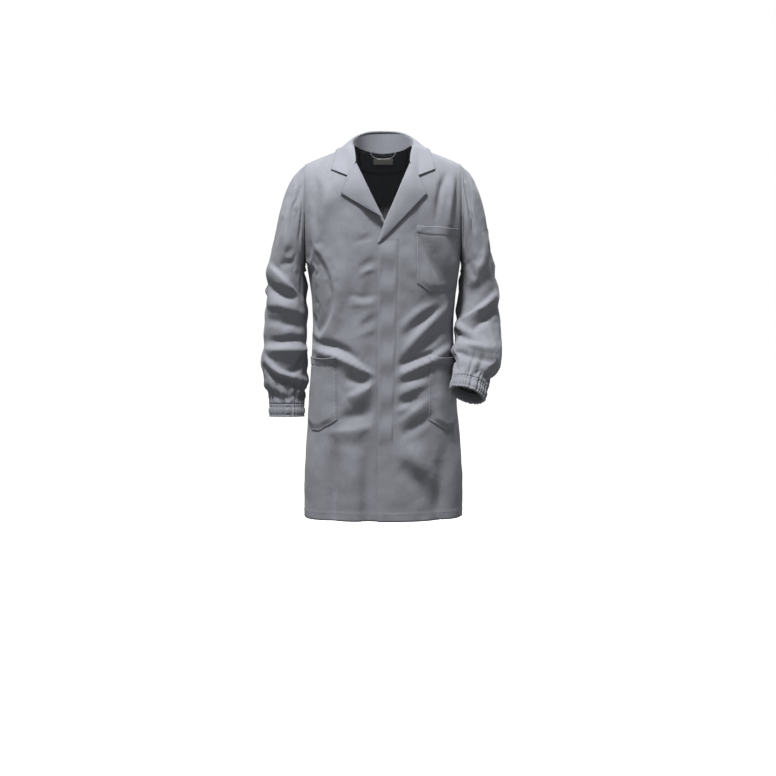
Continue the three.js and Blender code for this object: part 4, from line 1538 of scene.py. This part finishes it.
for side, sleeve in SLEEVES.items():
    turn, v = np.meshgrid(np.linspace(0, 1, SLEEVE_AROUND + 1), np.linspace(0, 1, SLEEVE_ALONG + 1))
    points, out = on_sleeve(sleeve, turn, v)
    points[:, -1] = points[:, 0]
    arm = f"{side}_arm"
    made = cloth_piece(
        f"{side}_sleeve_cloth",
        points,
        "coat_cloth",
        body=None,
        replaces=[f"{side}_sleeve"],
        around=True,
        flip=side == "right",
    )
    blend_to_arm(made[0])
    declare(made)

    # down the outer ply, around the fold at the lower edge, and up the inner ply
    along = np.linspace(0, 1, 34)
    turns = [0, 0.52, 0.56, 0.6, 1]
    drop = np.interp(along, turns, [0, CUFF_HEIGHT - 0.6, CUFF_HEIGHT, CUFF_HEIGHT - 0.6, 5])
    depth = np.interp(along, turns, [0, 0, 2.2, CASING_INSIDE, CASING_INSIDE])
    turn, drop = np.meshgrid(np.linspace(0, 1, 2 * SLEEVE_AROUND + 1), drop)
    depth = np.broadcast_to(depth[:, None], drop.shape)
    held_in = 1 - 0.45 * (np.exp(-(((drop - 8) / 2.0) ** 2)) + np.exp(-(((drop - 28) / 2.0) ** 2)))
    outside = 1 - ramp(depth, 0, 3)
    bulge = 1.5 * np.exp(-(((drop - 18) / 8) ** 2))
    gather = (pleat(turn) * GATHER + bulge) * (held_in * outside - 0.2 * (1 - outside) * (drop < 30))
    gather = gather + 1.8 * pleat(turn * 1.5 + 0.3) * outside * ramp(drop, 29, 34)
    points = on_cuff(sleeve, turn, drop, depth - gather)
    points[:, -1] = points[:, 0]
    made = cloth_piece(
        f"{side}_cuff_cloth",
        points,
        "coat_cloth",
        body=arm,
        thickness=0.5,
        replaces=[f"{side}_cuff_casing"],
        around=True,
        flip=side == "right",
    )
    declare(made)

# %% [markdown]
# ## Stitches
# The lockstitch shows as a row of short threads, each sunk at its ends. Every stitch is a small
# ball stretched along its row. A row follows a line on the draped cloth, so it bends with the folds.

# %% Stitching
# a kind of stitch: its length, the distance to the next one, and the thread's thickness
FINE_STITCH = (3.6, 5.2, 0.75)
HEAVY_STITCH = (5.4, 10.6, 2.0)


def read_at(place, run, points):
    """The point at a place along a line whose corners lie at run."""
    return np.array([np.interp(place, run, points[:, k]) for k in range(3)])


def stitch_row(name, points, normals, body="coat_body", blend_to=None, kind=FINE_STITCH):
    """A row of stitches along a line of points, in mm, lying on its normals' side."""
    length, pitch, thread = kind
    points, normals = np.asarray(points, float), np.asarray(normals, float)
    run = np.concatenate([[0], np.cumsum(np.linalg.norm(np.diff(points, axis=0), axis=1))])
    count = max(int(run[-1] / pitch), 2)
    middles = (np.arange(count) + 0.5) * run[-1] / count
    bm = bmesh.new()
    for middle in middles:
        centre = read_at(middle, run, points)
        up = unit(read_at(middle, run, normals))
        along = unit(read_at(middle + 1.5, run, points) - read_at(middle - 1.5, run, points))
        across = unit(np.cross(up, along))
        up = np.cross(along, across)
        place = Matrix.Identity(4)
        columns = (along * length / 2, across * thread / 2, up * thread * 0.4)
        for k, column in enumerate(columns):
            for row in range(3):
                place[row][k] = column[row] * MM
        for row in range(3):
            place[row][3] = (centre[row] + up[row] * 0.12) * MM
        bmesh.ops.create_uvsphere(bm, u_segments=6, v_segments=4, radius=1.0, matrix=place)
    bmesh.ops.recalc_face_normals(bm, faces=bm.faces)
    mesh = to_mesh(bm, name)
    mesh.materials.append(MATERIALS["sewing_thread"])
    row_piece = link(name, mesh)
    if blend_to:
        blend_to_arm(row_piece)
    else:
        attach(row_piece, body)
    return count


def line_on(side, x, z, lift, steps=240):
    """Points and normals along a line across the cloth, given by the places of its corners."""
    run = np.concatenate([[0], np.cumsum(np.hypot(np.diff(x), np.diff(z)))])
    at = np.linspace(0, run[-1], steps)
    return on_cloth(side, np.interp(at, run, x), np.interp(at, run, z), lift)


def pocket_line(size, path):
    """A line on a pocket through (s, t) corners, just inside its edges."""
    path = np.asarray(path, float)
    run = np.concatenate([[0], np.cumsum(np.hypot(*np.diff(path, axis=0).T))])
    at = np.linspace(0, run[-1], 300)
    s, t = np.interp(at, run, path[:, 0]), np.interp(at, run, path[:, 1])
    x, z = pocket_place(size, s, t)
    return on_cloth(-1, x, z, pocket_lift(size, s, t))


rows = {}
z = np.linspace(-238, FLY_BOTTOM, 200)
rows["fly_stitches"] = on_cloth(-1, fly_stitch(z), z, 0.5)
rows["fly_top_stitches"] = line_on(-1, [FRONT_EDGE + 6, 39], [-238, -238], 0.9, 30)
rows["fly_bottom_stitches"] = line_on(-1, [FRONT_EDGE + 2, 24], [FLY_BOTTOM, FLY_BOTTOM], 0.9, 30)
for name, size in POCKETS.items():
    width, height = size["outer"] - size["inner"], size["top"] - size["bottom"]
    a, b = 2.2 / width, 2.2 / height
    around = [(a, 1), (a, b), *[(share, b) for share in np.linspace(a, 1 - a, 24)], (1 - a, b), (1 - a, 1)]
    rows[name + "_stitches"] = pocket_line(size, around)
    hem = 1 - (MOUTH_HEM - 2) / height
    rows[name + "_hem_stitches"] = pocket_line(size, [(a, hem), (1 - a, hem)])
hem_height = HEM + HEM_BAND - 3
for side_name, side, mirrored in (
    ("left_front", -1, False),
    ("right_front", -1, True),
    ("left_back", 1, False),
    ("right_back", 1, True),
):
    sign = -1 if mirrored else 1
    start = FRONT_EDGE + 3 if side_name == "left_front" else (-FRONT_EDGE + 4 if side < 0 else 1)
    wide = float(level(hem_height, 1))
    angle = np.linspace(np.arcsin(start / wide), np.pi / 2 - 0.01, 200)
    x = sign * wide * np.sin(angle)
    rows[side_name + "_hem_stitches"] = on_cloth(side, x, hem_height + 0 * angle, 0.8)
    z = np.linspace(UNDERARM + 12, -66, 120)
    rows[side_name + "_armhole_stitches"] = on_cloth(side, sign * (ARMHOLE - 7 + 0 * z), z, 0.5)
z = np.linspace(VENT_TOP, -26, 260)
rows["back_seam_stitches"] = on_cloth(1, 6 + 0 * z, z, 0.5)
z = np.linspace(HEM + 4, VENT_TOP, 160)
rows["vent_stitches"] = on_cloth(1, -VENT_OVERLAP + 3 + 0 * z, z, 1.2)
rows["vent_top_stitches"] = line_on(1, [-VENT_OVERLAP + 3, 18], [VENT_TOP - 14, VENT_TOP], 0.9, 40)

# the collar's and lapels' rows run just inside their edges
s = np.linspace(0.012, 0.988, 260)
edge, inside = fall_at(s, np.full_like(s, 1.0)), fall_at(s, np.full_like(s, 0.93))
across = unit(np.gradient(edge, axis=0))
up = unit(np.cross(across, unit(edge - inside)))
up *= np.where(up[:, 2:] < 0, -1, 1)
near_edge = edge + unit(inside - edge) * 4
rows["collar_stitches"] = (near_edge + up * 0.3, up)
for side, lapel in LAPELS.items():
    t = np.linspace(0.04, 0.98, 200)
    edge, up = lapel_at(lapel, np.full_like(t, 0.999), t)
    inside = lapel_at(lapel, np.full_like(t, 0.9), t)[0]
    rows[f"{side}_lapel_stitches"] = (edge + unit(inside - edge) * 4 + up * 0.3, up)

# the hip pockets carry the most weight, so a heavier thread with longer stitches holds them
total = 0
for name, line in rows.items():
    kind = HEAVY_STITCH if "hip" in name else FINE_STITCH
    total += stitch_row(name, *line, kind=kind)
for side, sleeve in SLEEVES.items():
    turn = np.linspace(0, 1, 400)
    points, out = on_sleeve(sleeve, turn, np.full_like(turn, 0.012), 0.3)
    total += stitch_row(f"{side}_sleeve_seam_stitches", points, out, blend_to=f"{side}_arm")
    for number, drop in ((1, 8), (2, 28)):
        points = on_cuff(sleeve, turn, np.full_like(turn, drop), -pleat(turn) * GATHER * 0.55)
        out = unit(points - sample_middle(sleeve, np.ones_like(turn)))
        total += stitch_row(f"{side}_cuff_stitches_{number}", points, out, body=f"{side}_arm")
print(f"{total} stitches")

# %% [markdown]
# ## Floor, light and camera
# The coat is shown at the height it has on a standing person, over a pale floor. A large soft lamp
# from the upper left draws the folds, and a weak one from the right keeps their shaded sides open.

# %% The stage
FLOOR = -1.595
AMBIENT = 0.33
floor = bmesh.new()
bmesh.ops.create_grid(floor, x_segments=1, y_segments=1, size=14)
bmesh.ops.translate(floor, verts=floor.verts, vec=(0, 0, FLOOR))
floor = link("floor", to_mesh(floor, "floor"))
floor_material, _, _ = new_material(
    "matt pale floor",
    Base_Color=rgb("#f4f4f3"),
    Roughness=0.9,
    Emission_Color=rgb("#ffffff"),
    Emission_Strength=0.74,
)
floor.data.materials.append(floor_material)
# the floor is seen but doesn't light the coat, which the room's own light does
floor.visible_diffuse = floor.visible_glossy = False
floor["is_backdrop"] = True

world = bpy.data.worlds.new("pale studio")
world.use_nodes = True
background = world.node_tree.nodes["Background"]
background.inputs["Color"].default_value = rgb("#ffffff")
# the studio's walls are seen white, and light the coat less than the lamps do
straight = add_node(world.node_tree, "ShaderNodeLightPath").outputs["Is Camera Ray"]
add_strength = add_node(
    world.node_tree,
    "ShaderNodeMapRange",
    inputs={"To Min": AMBIENT, "To Max": 1.0},
    links={"Value": straight},
).outputs["Result"]
world.node_tree.links.new(add_strength, background.inputs["Strength"])
bpy.context.scene.world = world
bpy.context.scene.view_settings.view_transform = "Standard"


def lamp(name, place, size, power):
    """A square soft lamp that looks at the middle of the coat."""
    light = bpy.data.lights.new(name, "AREA")
    light.size, light.energy = size, power
    holder = link(name, light)
    holder.location = place
    holder.rotation_euler = (Vector((0, 0, -0.45)) - Vector(place)).to_track_quat("-Z", "Y").to_euler()


lamp("key lamp", (-0.7, -1.6, 3.5), 0.6, 400)
lamp("fill lamp", (2.8, -3.0, 0.4), 2.0, 5)
lamp("back lamp", (1.6, 3.2, 1.6), 2.0, 110)

# %% The camera
CAMERA_DISTANCE = 4.5
CAMERA_ELEVATION = 5
LOOK_AT = Vector((0.013, 0, -0.631))
camera = bpy.data.cameras.new("camera")
camera.lens = 78.8
camera.sensor_width = 36
holder = link("camera", camera)
rise = math.radians(CAMERA_ELEVATION)
holder.location = LOOK_AT + CAMERA_DISTANCE * Vector((0, -math.cos(rise), math.sin(rise)))
holder.rotation_euler = (LOOK_AT - holder.location).to_track_quat("-Z", "Y").to_euler()
bpy.context.scene.camera = holder

# %% Sizes
size = {"cad": [list(map(float, corner)) for corner in cad_box]}
size["visual"] = [list(map(float, corner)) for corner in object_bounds()]
print("visual box, m:", [[round(v, 3) for v in corner] for corner in size["visual"]])
